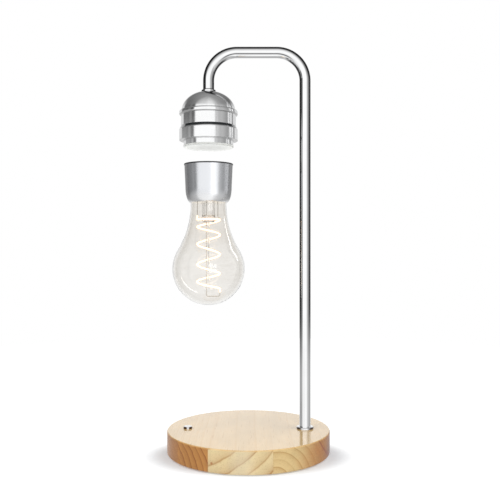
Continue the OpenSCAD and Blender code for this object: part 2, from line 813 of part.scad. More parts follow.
// Cable from the control board's right plug, up the pole and down to the driver board's plug
module arm_cable() {
    path = concat([[control_w / 2 + plug_w, plug_y, wire_z]],
        bend([pole_x - cable_turn_r, plug_y - cable_turn_r, wire_z], [0, 1, 0], [1, 0, 0], cable_turn_r),
        bend([pole_x, cable_foot_r, wire_z + cable_foot_r], [0, 0, -1], [0, -1, 0], cable_foot_r),
        bend([pole_x - bend_r, 0, top_z - bend_r], [1, 0, 0], [0, 0, 1], bend_r),
        bend([head_x + bend_r, 0, top_z - bend_r], [0, 0, 1], [-1, 0, 0], bend_r),
        [[head_x, 0, driver_top + driver_plug_h]]);
    color("white") swept(path, cable_d, 8, same([1, 2, 3], path));
}

module head_collar() {
    color("silver") translate([head_x, 0, 0]) tube_ring(collar_r, crown_z, collar_h);
}

module head_nut() {
    color("silver") translate([head_x, 0, head_nut_z]) tube_nut();
}

// Dome with its fin, which rounds over into it; the crown is thicker, and flat inside for the nut
module dome_cover() {
    inner_rise = dome_rise - dome_wall;
    top_a = acos(collar_r / dome_r);
    fin_a = asin((fin_top - dome_z) / dome_rise);
    ceiling_a = asin((ceiling_z - dome_z) / inner_rise);
    color("silver") turned(concat(
        arc([ring_r - fin_low_r, fin_z + fin_low_r], fin_low_r, -90, 0, round_steps),
        arc([dome_r, fin_top - dome_inset], dome_inset, 0, 90, round_steps),
        oval([0, dome_z], dome_r, dome_rise, fin_a, top_a, 4 * round_steps),
        [[thread_r + fit, crown_z], [thread_r + fit, ceiling_z]],
        oval([0, dome_z], dome_bore_r, inner_rise, ceiling_a, 0, 4 * round_steps),
        [[dome_bore_r, fin_z]]));
}

module head_sleeve() {
    spigot_r = dome_bore_r - fit;
    color("silver") turned([
        [sleeve_bore_r, lip_top], [lip_r, lip_top], [lip_r, ring_top], [sleeve_r, ring_top],
        [sleeve_r, fin_z], [spigot_r, fin_z], [spigot_r, fin_z + sleeve_spigot_h],
        [sleeve_bore_r, fin_z + sleeve_spigot_h]]);
}

module lower_ring() {
    color("silver") turned(concat([[cup_r + fit, ring_z]],
        arc([ring_r - ring_edge_r, ring_z + ring_edge_r], ring_edge_r, -90, 0, round_steps),
        [[ring_r, ring_z + ring_h], [sleeve_r, ring_top], [lip_r + fit, ring_top],
            [lip_r + fit, lip_z], [cup_r + fit, lip_z]]));
}

module bottom_cup() {
    color("gainsboro") turned([
        [cup_bore_r, cup_z], [cup_r, cup_z], [cup_r, lip_z], [lip_r, lip_z], [lip_r, lip_top],
        [cup_bore_r, lip_top]]);
}

module end_cover() {
    color("ivory") turned(concat([[0, head_z]],
        arc([cup_r - end_cover_edge_r, head_z + end_cover_edge_r], end_cover_edge_r, -90, 0, round_steps),
        [[cup_r, cup_z], [end_spigot_r, cup_z], [end_spigot_r, cup_z + end_spigot_h],
            [end_spigot_bore_r, cup_z + end_spigot_h], [end_spigot_bore_r, cup_z], [0, cup_z]]));
}

module transmitter_coil() {
    color("chocolate") ring(sender_r, sender_bore_d / 2, sender_z, sender_t);
}

module ferrite_disc() {
    color("dimgray") ring(sender_r, ferrite_bore_d / 2, ferrite_z, sensor_board_z - ferrite_z);
}

module sensor_board() {
    color("darkgreen") translate([head_x, 0, sensor_board_z])
        cylinder(r = cup_bore_r - sensor_board_gap, h = board_t);
}

module field_sensor() {
    color("black") translate([head_x, 0, sensor_board_z - field_sensor_h])
        translate([-field_sensor_w / 2, -field_sensor_w / 2, 0])
            cube([field_sensor_w, field_sensor_w, field_sensor_h]);
}

module coil_bobbin() {
    color("black") turned([
        [bobbin_bore_r, bobbin_z], [bobbin_r, bobbin_z], [bobbin_r, bobbin_z + flange_t],
        [bobbin_tube_r, bobbin_z + flange_t], [bobbin_tube_r, bobbin_top - flange_t],
        [bobbin_r, bobbin_top - flange_t], [bobbin_r, bobbin_top], [bobbin_bore_r, bobbin_top]]);
}

module lifting_coil() {
    color("chocolate") ring(bobbin_r - winding_inset, bobbin_tube_r + fit, bobbin_z + flange_t, winding_h);
}

module coil_core() {
    color("gray") translate([head_x, 0, bobbin_z]) cylinder(d = core_d, h = bobbin_top + bias_t - bobbin_z);
}

module bias_magnet() {
    color("silver") ring(bias_r, core_d / 2 + fit, bobbin_top, bias_t);
}

module board_spacers() {
    color("white") at_spacers() translate([0, 0, bobbin_top]) difference() {
        cylinder(d = spacer_d, h = spacer_h);
        translate([0, 0, -over]) cylinder(r = board_screw_d / 2 + fit, h = spacer_h + 2 * over);
    }
}

module driver_board() {
    color("darkgreen") difference() {
        translate([head_x, 0, driver_z]) cylinder(r = sleeve_bore_r - driver_gap, h = board_t);
        at_spacers() translate([0, 0, driver_z - over])
            cylinder(r = board_screw_d / 2 + fit, h = board_t + 2 * over);
    }
}

// Cable plug in the middle and three power transistors round it
module driver_parts() {
    color("dimgray") translate([head_x, 0, driver_top]) {
        translate([-driver_plug_w / 2, -driver_plug_w / 2, 0])
            cube([driver_plug_w, driver_plug_w, driver_plug_h]);
        for (a = spacer_angles) rotate(a + 60) translate([transistor[0], -transistor[2] / 2, 0])
            cube([transistor[1], transistor[2], transistor[3]]);
    }
}

module driver_screws() {
    color("silver") at_spacers() translate([0, 0, driver_top]) pan_screw(board_t + driver_screw_bite);
}

module bulb_magnet() {
    color("silver") translate([head_x, 0, magnet_z]) cylinder(d = magnet_d, h = magnet_h);
}

module magnet_cover() {
    color("black") translate([head_x, 0, cap_top]) cylinder(r = cap_top_r + disc_overhang, h = disc_t);
}

module receiver_coil() {
    color("chocolate") ring(cap_bore_r - air, holder_r + receiver_gap, cap_top - receiver_t, receiver_t);
}

module magnet_holder() {
    well_r = magnet_d / 2 + run;
    color("white") turned([
        [0, holder_z], [holder_r, holder_z], [holder_r, cap_top], [well_r, cap_top],
        [well_r, magnet_z - run], [0, magnet_z - run]]);
}

module receiver_board() {
    color("darkgreen") translate([head_x, 0, receiver_board_z])
        cylinder(r = cap_bore_r - receiver_board_gap, h = board_t);
}

// Rectifier chips and capacitors round the magnet holder
module receiver_parts() {
    color("dimgray") translate([head_x, 0, holder_z]) for (a = [0:60:300])
        rotate(a) translate([holder_r + receiver_chip[0], -receiver_chip[1] / 2, 0])
            cube([receiver_chip[1], receiver_chip[1], receiver_chip[2]]);
}

// Spun cap: straight taper, then drawn in to a mouth that clears the glass neck
module bulb_cap() {
    mouth_bore_r = neck_r + 2 * fit;
    full_h = round_full_h - cap_wall;
    mouth_a = asin(cap_round_h / round_full_h);
    bore_a = acos((mouth_bore_r - round_r) / (cap_round_w - cap_wall));
    color("lightgray") turned(concat([[cap_top_r, cap_top]],
        oval([round_r, round_z], cap_round_w, -round_full_h, 0, mouth_a, 2 * round_steps),
        [[mouth_bore_r, cap_z]],
        oval([round_r, round_z], cap_round_w - cap_wall, -full_h, bore_a, 0, 2 * round_steps),
        [[cap_top_r - cap_wall, cap_top]]));
}

// Moulded insert that holds the glass neck, seats in the cap's rounding and carries the receiver board
module neck_insert() {
    bore_r = neck_r + fit;
    stop_r = bore_r - insert_stop_w;
    color("white") turned([
        [bore_r, insert_z], [insert_r1, insert_z], [insert_r1, insert_step_z], [insert_r2, insert_step_z],
        [insert_r2, receiver_board_z], [stop_r, receiver_board_z], [stop_r, neck_top], [bore_r, neck_top]]);
}

// Glass envelope: ball, hollow shoulder and straight neck, open at the top
module glass_bulb() {
    shoulder_c = [neck_r + shoulder_r, shoulder_z];
    ball_c = [0, ball_z];
    inner_r = glass_r - glass_t;
    inner_shoulder_r = shoulder_r + glass_t;
    color("aliceblue", 0.4) turned(concat(
        arc(ball_c, glass_r, -90, shoulder_a, 6 * round_steps),
        arc(shoulder_c, shoulder_r, 180 + shoulder_a, 180, 3 * round_steps),
        [[neck_r, neck_top], [neck_r - glass_t, neck_top]],
        arc(shoulder_c, inner_shoulder_r, 180, 180 + shoulder_a, 3 * round_steps),
        arc(ball_c, inner_r, shoulder_a, -90, 6 * round_steps)));
}

// Glass stem with a flare in the neck and a solid tip, both of which the wires pass through
module bulb_stem() {
    color("aliceblue", 0.5) difference() {
        turned([[0, stem_bottom], [stem_d / 2, stem_bottom], [stem_d / 2, flare_z],
            [neck_r - glass_t - fit, flare_z], [neck_r - glass_t - fit, flare_top],
            [stem_bore_d / 2, flare_top], [stem_bore_d / 2, lead_top], [0, lead_top]]);
        translate([head_x - lead_x, 0, stem_bottom - over])
            cylinder(r = lead_d / 2 + fit, h = stem_tip_h + 2 * over);
        for (x = [-spiral_r, support_x]) translate([head_x + x, 0, flare_z - over])
            cylinder(r = lead_d / 2 + fit, h = flare_t + 2 * over);
    }
}

module stem_rod() {
    color("aliceblue") translate([head_x, 0, rod_bottom]) cylinder(d = rod_d, h = stem_bottom - rod_bottom);
}

// Point of the spiral at a length along its circle and at a height
function on_spiral(s, z) =
    let (a = s / spiral_r * 180 / PI) [head_x + spiral_r * cos(a), spiral_r * sin(a), z];

// Filament's middle line: down from the first lead, level for half a turn, then round the spiral and down to
// the second lead
filament_rings = 24 * spiral_turns;
level_rings = 12;
filament_path = concat(
    [on_spiral(spiral_start, top_end_z), on_spiral(spiral_start, top_end_z - filament_d)],
    [for (i = [1:3]) let (t = 30 * i)
        on_spiral(spiral_start + filament_end_r * (1 - cos(t)), spiral_top + filament_end_r * (1 - sin(t)))],
    [for (i = [1:level_rings]) on_spiral(spiral_start * (1 - i / level_rings), spiral_top)],
    [for (i = [1:filament_rings - 1])
        let (u = i / filament_rings)
        on_spiral(u * (spiral_len - filament_end_r), spiral_top - spiral_h * u + pitch_swing * sin(360 * u))],
    [for (i = [0:3]) let (t = 30 * i)
        on_spiral(spiral_len - filament_end_r * (1 - sin(t)), spiral_bottom - filament_end_r * (1 - cos(t)))],
    [on_spiral(spiral_len, bottom_end_z)]);

// Least gap of the filament to itself, between points more than half a turn apart
filament_gap = min([for (i = [0:len(filament_path) - 13]) for (j = [i + 12:len(filament_path) - 1])
    norm(filament_path[i] - filament_path[j])]) - filament_d;
echo(filament_gap = filament_gap);

module filament() {
    color("orange") swept(filament_path, filament_d, 6, [for (p = filament_path) [p.x - head_x, p.y, 0]]);
}

// Straight lead to the filament's upper end, long lead along the centre rod to its lower end, and a support
// wire that ends just over its first full turn
module filament_leads() {
    r = lead_bend_r;
    low_z = bottom_end_z - 2 * r;
    long_path = concat([[head_x - lead_x, 0, lead_top]],
        bend([head_x - lead_x + r, 0, low_z + r], [-1, 0, 0], [0, 0, -1], r),
        bend([head_x + spiral_r - r, 0, low_z + r], [0, 0, -1], [1, 0, 0], r),
        [[head_x + spiral_r, 0, bottom_end_z]]);
    over_z = spiral_top + filament_d / 2 + lead_d / 2 + fit;
    support_path = concat([[head_x + support_x, 0, flare_top]],
        bend([head_x + spiral_r, 0, over_z + r], [-1, 0, 0], [0, 0, -1], r));
    color("silver") {
        translate([head_x - spiral_r, 0, top_end_z]) cylinder(d = lead_d, h = flare_top - top_end_z);
        swept(long_path, lead_d, 8, same([0, 1, 0], long_path));
        swept(support_path, lead_d, 8, same([0, 1, 0], support_path));
    }
}

// Wires from the receiver board to the two leads, the second one down the stem's bore
module board_leads() {
    color("silver") for (w = [[-spiral_r, flare_top], [-lead_x, lead_top]])
        translate([head_x + w[0], 0, w[1]]) cylinder(d = lead_d, h = receiver_board_z - w[1]);
}

wood_base();
base_cover();
cover_screws();
foot_pads();
ballast_plate();
ballast_screws();
control_board();
control_parts();
board_screws();
power_jack();
switch_board();
push_switch();
switch_lead();
button_bush();
button_spring();
button_cap();
switch_plunger();
pole_ferrule();
pole_washer();
pole_nut();
arm_tube();
arm_cable();
head_collar();
head_nut();
dome_cover();
head_sleeve();
lower_ring();
bottom_cup();
end_cover();
transmitter_coil();
ferrite_disc();
sensor_board();
field_sensor();
coil_bobbin();
lifting_coil();
coil_core();
bias_magnet();
board_spacers();
driver_board();
driver_parts();
driver_screws();
bulb_magnet();
magnet_cover();
receiver_coil();
magnet_holder();
receiver_board();
receiver_parts();
bulb_cap();
neck_insert();
glass_bulb();
bulb_stem();
stem_rod();
filament();
filament_leads();
board_leads();
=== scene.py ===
import json
import bpy
import numpy as np
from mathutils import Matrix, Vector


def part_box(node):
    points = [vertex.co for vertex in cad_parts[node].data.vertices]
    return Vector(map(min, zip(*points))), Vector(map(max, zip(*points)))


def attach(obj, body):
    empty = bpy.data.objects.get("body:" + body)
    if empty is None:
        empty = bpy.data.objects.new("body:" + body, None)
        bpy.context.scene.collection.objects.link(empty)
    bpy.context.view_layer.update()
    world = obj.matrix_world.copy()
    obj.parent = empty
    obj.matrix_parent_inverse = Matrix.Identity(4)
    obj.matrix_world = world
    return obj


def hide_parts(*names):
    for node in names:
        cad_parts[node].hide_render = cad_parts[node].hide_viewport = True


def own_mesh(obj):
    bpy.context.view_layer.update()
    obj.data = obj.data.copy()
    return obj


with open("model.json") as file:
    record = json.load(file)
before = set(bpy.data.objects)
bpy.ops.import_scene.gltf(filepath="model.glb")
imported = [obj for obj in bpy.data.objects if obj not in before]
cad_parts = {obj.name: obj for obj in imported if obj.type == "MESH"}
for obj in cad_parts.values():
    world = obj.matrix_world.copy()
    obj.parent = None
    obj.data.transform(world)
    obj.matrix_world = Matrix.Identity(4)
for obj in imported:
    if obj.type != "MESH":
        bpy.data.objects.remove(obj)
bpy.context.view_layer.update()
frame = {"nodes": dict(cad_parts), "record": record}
scene = bpy.context.scene
print("frame loaded,", len(frame["nodes"]), "nodes")

mm = 0.001
headX = -39.5  # axis of the head and the bulb
poleX = 56.0
sharpFrom = 34  # edges that turn by more degrees stay sharp


# mesh tools

def smoothMesh(mesh, sharp):
    mesh.polygons.foreach_set("use_smooth", np.ones(len(mesh.polygons), bool))
    mesh.set_sharp_from_angle(angle=np.radians(sharp))


def putMesh(name, points, faces, sharp):
    # faces: arrays with one row of corner numbers a face, one array for each number of corners
    mesh = bpy.data.meshes.new(name)
    corners = np.concatenate([f.ravel() for f in faces])
    sizes = np.concatenate([np.full(len(f), f.shape[1]) for f in faces])
    starts = np.concatenate([[0], np.cumsum(sizes)[:-1]])
    mesh.vertices.add(len(points))
    mesh.vertices.foreach_set("co", (np.asarray(points) * mm).astype(np.float32).ravel())
    mesh.loops.add(len(corners))
    mesh.loops.foreach_set("vertex_index", corners.astype(np.int32))
    mesh.polygons.add(len(sizes))
    mesh.polygons.foreach_set("loop_start", starts.astype(np.int32))
    mesh.update(calc_edges=True)
    mesh.validate()
    smoothMesh(mesh, sharp)
    piece = bpy.data.objects.new(name, mesh)
    scene.collection.objects.link(piece)
    return piece


def ringGrid(name, rings, low=None, high=None, loop=False, sharp=sharpFrom):
    # surface over a grid (row, place round the ring); low and high are pole points that close its ends
    rows, cols = rings.shape[:2]
    row = np.arange(rows if loop else rows - 1)[:, None]
    col = np.arange(cols)[None, :]
    onward, above = (col + 1) % cols, (row + 1) % rows
    quads = [row * cols + col, row * cols + onward, above * cols + onward, above * cols + col]
    points, faces = [rings.reshape(-1, 3)], [np.stack(quads, -1).reshape(-1, 4)]
    here, there, pole = col[0], onward[0], rows * cols
    if low is not None:
        points.append(np.array([low], float))
        faces.append(np.stack([np.full(cols, pole), there, here], 1))
        pole += 1
    if high is not None:
        points.append(np.array([high], float))
        last = (rows - 1) * cols
        faces.append(np.stack([last + here, last + there, np.full(cols, pole)], 1))
    return putMesh(name, np.concatenate(points), faces, sharp)


def softCorners(points, radii, steps=6, near=0.15):
    # each corner of a closed profile becomes an arc of its radius, and flat sides get a point close to each
    # end so that they stay flat in the shading; a radius below 0 leaves a point of a curve as it is
    p = np.asarray(points, float)
    r = np.asarray(radii, float)[:, None]
    curve, r = r < 0, np.maximum(r, 0)
    back, ahead = np.roll(p, 1, 0) - p, np.roll(p, -1, 0) - p
    sideAhead = np.linalg.norm(ahead, axis=1)[:, None]
    back, ahead = back / np.linalg.norm(back, axis=1)[:, None], ahead / sideAhead
    half = np.arccos(np.clip((back * ahead).sum(1), -0.999999, 0.999999))[:, None] / 2
    cut = r / np.tan(half)
    middle = back + ahead
    middle = middle / np.maximum(np.linalg.norm(middle, axis=1)[:, None], 1e-9)
    centre = p + middle * r / np.sin(half)
    turn = (np.pi - 2 * half)[:, None]
    s = np.linspace(0, 1, steps + 1)[None, :, None]
    first, second = (p + back * cut - centre)[:, None], (p + ahead * cut - centre)[:, None]
    arcs = (np.sin((1 - s) * turn) * first + np.sin(s * turn) * second) / np.sin(turn)
    arcs = np.where(curve[:, None], p[:, None], centre[:, None] + arcs)
    spare = np.clip(np.minimum(near, 0.25 * (sideAhead - cut - np.roll(cut, -1, 0))), 0, None)
    before = p + back * (cut + np.where(curve, 0, np.roll(spare, 1, 0)))
    after = p + ahead * (cut + np.where(curve, 0, spare))
    line = np.concatenate([before[:, None], arcs, after[:, None]], 1).reshape(-1, 2)
    return line[np.linalg.norm(line - np.roll(line, 1, 0), axis=1) > 1e-5]


def outline(look, corners):
    # corners of a profile, each named by two sizes of the look: radius and height; radius 0 is the axis
    return [[0.0 if key == "0" else look[key] for key in corner.split()] for corner in corners.split(", ")]


def turned(name, profile, steps=192, x=headX):
    # profile (r, z), outer side upwards, carried round an upright axis: (x + r cos a, r sin a, z)
    profile = np.asarray(profile, float)
    start = int(np.argmin(profile[:, 0] + 1e-6 * profile[:, 1]))
    solid = profile[start, 0] < 1e-9
    if solid:  # the profile runs from one point on the axis to another
        profile = np.roll(profile, -start, 0)
        if profile[1, 0] < 1e-9:
            profile = np.roll(profile, -1, 0)
        onAxis = profile[:, 0] < 1e-9
        poles, profile = profile[onAxis], profile[~onAxis]
    angle = roundAngles(steps)
    r, z = profile[:, 0:1], profile[:, 1:2]
    rings = np.stack([x + r * np.cos(angle), r * np.sin(angle), z + 0 * angle], -1)
    if not solid:
        return ringGrid(name, rings, loop=True)
    return ringGrid(name, rings, (x, 0, poles[0, 1]), (x, 0, poles[-1, 1]))


def roundAngles(count):
    return np.linspace(0, 2 * np.pi, count, endpoint=False)


def ovalArc(centre, wide, high, start, end, count):
    # points of an ellipse's arc, angles in degrees
    t = np.radians(np.linspace(start, end, count))
    return np.stack([centre[0] + wide * np.cos(t), centre[1] + high * np.sin(t)], 1)


def rod(name, path, across, radius, sides):
    # round section carried along a path: path + radius (cos a across + sin a (along x across))
    along = np.gradient(path, axis=0)
    along /= np.linalg.norm(along, axis=1)[:, None]
    over = np.cross(along, across)
    over /= np.linalg.norm(over, axis=1)[:, None]
    across = np.cross(over, along)
    across /= np.linalg.norm(across, axis=1)[:, None]
    a = roundAngles(sides)[None, :, None]
    rings = path[:, None] + radius * (np.cos(a) * across[:, None] + np.sin(a) * over[:, None])
    return ringGrid(name, rings, path[0], path[-1], sharp=50)


def place(piece, body, slot, *nodes, finish=None):
    # the piece moves with a body, stands for its nodes and has the finish of its slot, unless it has its own
    piece.data.materials.clear()
    piece.data.materials.append(finish or finishOf[slot])
    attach(piece, body)
    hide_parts(*nodes)


# shader tools: a node goes into the tree that holds the sockets given

def feed(socket, value):
    # a socket takes a link or a plain value; plain colours are opaque
    if isinstance(value, bpy.types.NodeSocket):
        socket.id_data.links.new(value, socket)
    else:
        socket.default_value = (*value, 1.0) if socket.type == "RGBA" else value


def addNode(tree, kind, wires=None, **settings):
    node = tree.nodes.new("ShaderNode" + kind)
    for key, value in settings.items():
        setattr(node, key, value)
    for key, value in (wires or {}).items():
        feed(node.inputs[key], value)
    return node


def join(kind, wires, **settings):
    tree = next(value.id_data for value in wires.values() if isinstance(value, bpy.types.NodeSocket))
    return addNode(tree, kind, wires, **settings)


def sums(operation, a, b=0.0, c=0.0):
    return join("Math", {0: a, 1: b, 2: c}, operation=operation).outputs[0]


def times(a, b):
    return sums("MULTIPLY", a, b)


def offBy(value, middle):
    return sums("ABSOLUTE", sums("SUBTRACT", value, middle))


def hypotenuse(a, b):
    return sums("POWER", sums("ADD", sums("POWER", a, 2.0), sums("POWER", b, 2.0)), 0.5)


def spread(value, low, high, toLow=0.0, toHigh=1.0, smooth=True):
    kind = "SMOOTHSTEP" if smooth else "LINEAR"
    wires = {0: value, 1: low, 2: high, 3: toLow, 4: toHigh}
    return join("MapRange", wires, interpolation_type=kind).outputs[0]


def falls(value, low, high):
    return spread(value, low, high, 1.0, 0.0)


def vectors(operation, a, b, gives=0):
    return join("VectorMath", {0: a, 1: b}, operation=operation).outputs[gives]


def scaled(vector, factor):
    return join("VectorMath", {0: vector, "Scale": factor}, operation="SCALE").outputs[0]


def axes(vector):
    return join("SeparateXYZ", {0: vector}).outputs


def normal(inMm):
    return addNode(inMm.id_data, "TexCoord").outputs["Normal"]


def slant(inMm):
    # 0 where the surface faces the eye, 1 where it turns away
    return addNode(inMm.id_data, "LayerWeight", {"Blend": 0.5}).outputs["Facing"]


def noise(where, scale, detail, roughness=0.5):
    wires = {"Vector": where, "Scale": scale, "Detail": detail, "Roughness": roughness}
    return join("TexNoise", wires).outputs[0]


def blendValue(share, a, b):
    return join("Mix", {0: share, 2: a, 3: b}).outputs[0]


def blendColour(share, a, b, mode="MIX"):
    return join("Mix", {0: share, 6: a, 7: b}, data_type="RGBA", blend_type=mode).outputs[2]


def ramp(value, stops):
    node = join("ValToRGB", {0: value})
    bar = node.color_ramp.elements
    while len(bar) < len(stops):
        bar.new(0.5)
    for element, (at, shade) in zip(bar, stops):
        element.position = at
        element.color = (shade, shade, shade, 1) if np.isscalar(shade) else (*shade, 1)
    return node.outputs[0]


socketKinds = dict(Place="Vector", Colour="Color")  # the other sockets of groups are plain numbers


def startGroup(name, takes, gives):
    tree = bpy.data.node_groups.new(name, "ShaderNodeTree")
    for way, labels in (("INPUT", takes), ("OUTPUT", gives)):
        for label in labels.split():
            kind = "NodeSocket" + socketKinds.get(label, "Float")
            tree.interface.new_socket(name=label, in_out=way, socket_type=kind)
    return tree, tree.nodes.new("NodeGroupInput").outputs, tree.nodes.new("NodeGroupOutput").inputs


def useGroup(group, wires):
    return join("Group", wires, node_tree=group).outputs


def freshTree(holder):
    holder.use_nodes = True
    holder.node_tree.nodes.clear()
    return holder.node_tree


def newFinish(name, **values):
    # a material with one Principled shader; values that are the same all over go straight onto its sockets
    material = bpy.data.materials.new(name)
    tree = freshTree(material)
    shader = addNode(tree, "BsdfPrincipled")
    addNode(tree, "OutputMaterial", {"Surface": shader.outputs[0]})
    for key, value in values.items():
        feed(shader.inputs[key.replace("_", " ")], value)
    return material, shader.inputs, scaled(addNode(tree, "TexCoord").outputs["Object"], 1000.0)


# touchMarks: cloudy change of roughness from handling and polishing
touchMarks, taken, given = startGroup("touchMarks", "Place Size Smooth Dull", "Roughness Mark")
cloud = noise(taken["Place"], sums("DIVIDE", 1.0, taken["Size"]), 4.0, 0.6)
mark = spread(cloud, 0.35, 0.7)
feed(given["Mark"], mark)
feed(given["Roughness"], spread(mark, 0.0, 1.0, taken["Smooth"], taken["Dull"], smooth=False))

# mouldGrain: fine pebbled grain of mouldings, paint and rubber
mouldGrain, taken, given = startGroup("mouldGrain", "Place Size Colour Shift", "Colour Height")
pebble = noise(taken["Place"], sums("DIVIDE", 1.0, taken["Size"]), 3.0)
patch = noise(taken["Place"], 0.06, 2.0)
shade = sums("ADD", times(pebble, 0.5), times(patch, 0.5))
lift = sums("MULTIPLY_ADD", sums("SUBTRACT", shade, 0.5), times(taken["Shift"], 2.0), 1.0)
feed(given["Colour"], scaled(taken["Colour"], lift))
feed(given["Height"], pebble)

# latheLines: faint rings that a turning tool leaves round an axis
latheLines, taken, given = startGroup("latheLines", "Place Axis Pitch", "Height Streak")
parts = axes(taken["Place"])
away = hypotenuse(sums("SUBTRACT", parts[0], taken["Axis"]), parts[1])
track = [sums("DIVIDE", length, taken["Pitch"]) for length in (away, parts[2])]
groove = noise(join("CombineXYZ", dict(enumerate(track))).outputs[0], 1.0, 2.0)
feed(given["Height"], groove)
feed(given["Streak"], spread(groove, 0.3, 0.7))

# growthRings: rings about a pith line along Y, pale early wood that darkens to a thin late line
growthRings, taken, given = startGroup("growthRings", "Place PithX PithZ Pitch Wobble", "Ring")
parts = axes(taken["Place"])
bow = noise(vectors("MULTIPLY", taken["Place"], (1.0, 0.12, 1.0)), 0.04, 3.0)
bow = times(sums("SUBTRACT", bow, 0.5), taken["Wobble"])
across = sums("SUBTRACT", parts[0], taken["PithX"])
upward = sums("SUBTRACT", parts[2], taken["PithZ"])
count = sums("DIVIDE", sums("ADD", hypotenuse(across, upward), bow), taken["Pitch"])
which = join("TexNoise", {"W": sums("FLOOR", count), "Scale": 7.3, "Detail": 0.0}, noise_dimensions="1D")
year = ramp(sums("FRACT", count), [
    (0.0, 0.12), (0.1, 0.0), (0.3, 0.06), (0.6, 0.22), (0.84, 0.48), (0.91, 0.97), (0.95, 1.0), (0.98, 0.3)])
feed(given["Ring"], times(year, spread(which.outputs[0], 0.3, 0.7, 0.4, 1.0)))

# longGrain: streaks, short open pores and a soft cloudiness along Y
longGrain, taken, given = startGroup("longGrain", "Place", "Fibre Pore Cloud")
grainLook = dict(
    Fibre=dict(stretch=(0.9, 0.03, 0.9), detail=5.0, low=0.42, high=0.75),
    Pore=dict(stretch=(1.1, 0.045, 1.1), detail=1.0, low=0.66, high=0.71),
    Cloud=dict(stretch=(0.05, 0.02, 0.05), detail=2.0, low=0.3, high=0.7))
for label, look in grainLook.items():
    drawn = noise(vectors("MULTIPLY", taken["Place"], look["stretch"]), 1.0, look["detail"], 0.6)
    feed(given[label], spread(drawn, look["low"], look["high"]))
print("shader groups made")


# finishes

def bumped(height, strength, distance):
    return join("Bump", {"Height": height, "Strength": strength, "Distance": distance}).outputs[0]


def handled(skin, inMm, size, smooth, dull):
    marks = useGroup(touchMarks, {"Place": inMm, "Size": size, "Smooth": smooth, "Dull": dull})
    feed(skin["Roughness"], marks["Roughness"])
    return marks


mirrorLook = dict(marks=14.0, wear=0.12, worn=0.8, pitch=0.25, groove=0.00002, sides=(0.3, 0.7),
                  below=(-0.6, -0.2))


def paintedUnderShade(inMm, colour, shade):
    # painted shade: metal that faces down is darkened in its colour, for the dim space below it that it would
    # mirror
    below = falls(axes(normal(inMm))[2], *mirrorLook["below"])
    return blendColour(below, colour, (shade, shade, shade))


tubeLook = dict(
    under=(-0.75, -0.35), crown=(0.6, 0.95), crownShare=0.75, bend=(0.25, 0.6),
    table=(70.0, 150.0), tableShare=0.25, shadowLineZ=357.5, shadowLineWide=(0.3, 0.7), shadowLineShare=0.8, shadowLineX=(-5.0, 5.0),
    level=(0.15, 0.5), lineWide=(0.04, 0.15), lines=((-0.46, 0.85), (-0.93, 0.5)))


def tubeShade(inMm, colour, dark):
    # painted reflection and shade: how far each side of the bent tube may darken, paler near the table; and
    # its colour with a painted shadow line above the collar and two painted dark reflection lines along the
    # under side of the top run
    look, where, facing = tubeLook, axes(inMm), axes(normal(inMm))
    sideways = sums("ABSOLUTE", facing[0])
    crown = spread(facing[2], *look["crown"], 1.0, look["crownShare"])
    side = times(spread(facing[2], *look["under"]), crown)
    side = sums("MAXIMUM", side, spread(sideways, *look["bend"]))
    side = times(side, spread(where[2], *look["table"], look["tableShare"], 1.0))
    # painted shadow line in the joint above the collar
    paintedShadow = spread(offBy(where[2], look["shadowLineZ"]), *look["shadowLineWide"], look["shadowLineShare"], 0.0)
    paintedShadow = times(paintedShadow, falls(where[0], *look["shadowLineX"]))
    colour = blendColour(paintedShadow, colour, dark)
    level = falls(sideways, *look["level"])
    # painted reflection: two dark lines along the under side of the top run
    for lean, share in look["lines"]:
        line = spread(offBy(facing[2], lean), *look["lineWide"], share, 0.0)
        colour = blendColour(times(line, level), colour, dark)
    return side, colour


def mirrorFinish(name, colour, smooth, dull, lathe=0.0, rim=None, under=None):
    material, skin, inMm = newFinish(name, Metallic=1.0)
    marks = handled(skin, inMm, mirrorLook["marks"], smooth, dull)
    worn = [c * mirrorLook["worn"] for c in colour]
    tone = blendColour(times(marks["Mark"], mirrorLook["wear"]), colour, worn)
    if rim:  # painted reflection: the colour darkens on sides that turn away, as they do in a light tent
        dark = rim["colour"]
        if rim["tube"]:
            side, tone = tubeShade(inMm, tone, dark)
        else:
            side = falls(axes(normal(inMm))[2], *mirrorLook["sides"])
        away = spread(slant(inMm), rim["start"], rim["full"])
        tone = blendColour(times(away, side), tone, dark)
    # painted shade on the sides that face down
    if under:
        tone = paintedUnderShade(inMm, tone, under)
    feed(skin["Base Color"], tone)
    if lathe:
        lines = useGroup(latheLines, {"Place": inMm, "Axis": headX, "Pitch": mirrorLook["pitch"]})
        feed(skin["Normal"], bumped(lines["Height"], lathe, mirrorLook["groove"]))
    return material


mouldLook = dict(marks=9.0, depth=0.0001)


def mouldedFinish(name, colour, smooth, dull, grain, depth, shift=0.12, metal=0.0):
    material, skin, inMm = newFinish(name, Metallic=metal)
    grained = useGroup(mouldGrain, {"Place": inMm, "Size": grain, "Colour": colour, "Shift": shift})
    handled(skin, inMm, mouldLook["marks"], smooth, dull)
    feed(skin["Base Color"], grained["Colour"])
    feed(skin["Normal"], bumped(grained["Height"], depth, mouldLook["depth"]))
    return material


silver, chrome = (0.965, 0.97, 0.975), (0.97, 0.97, 0.975)
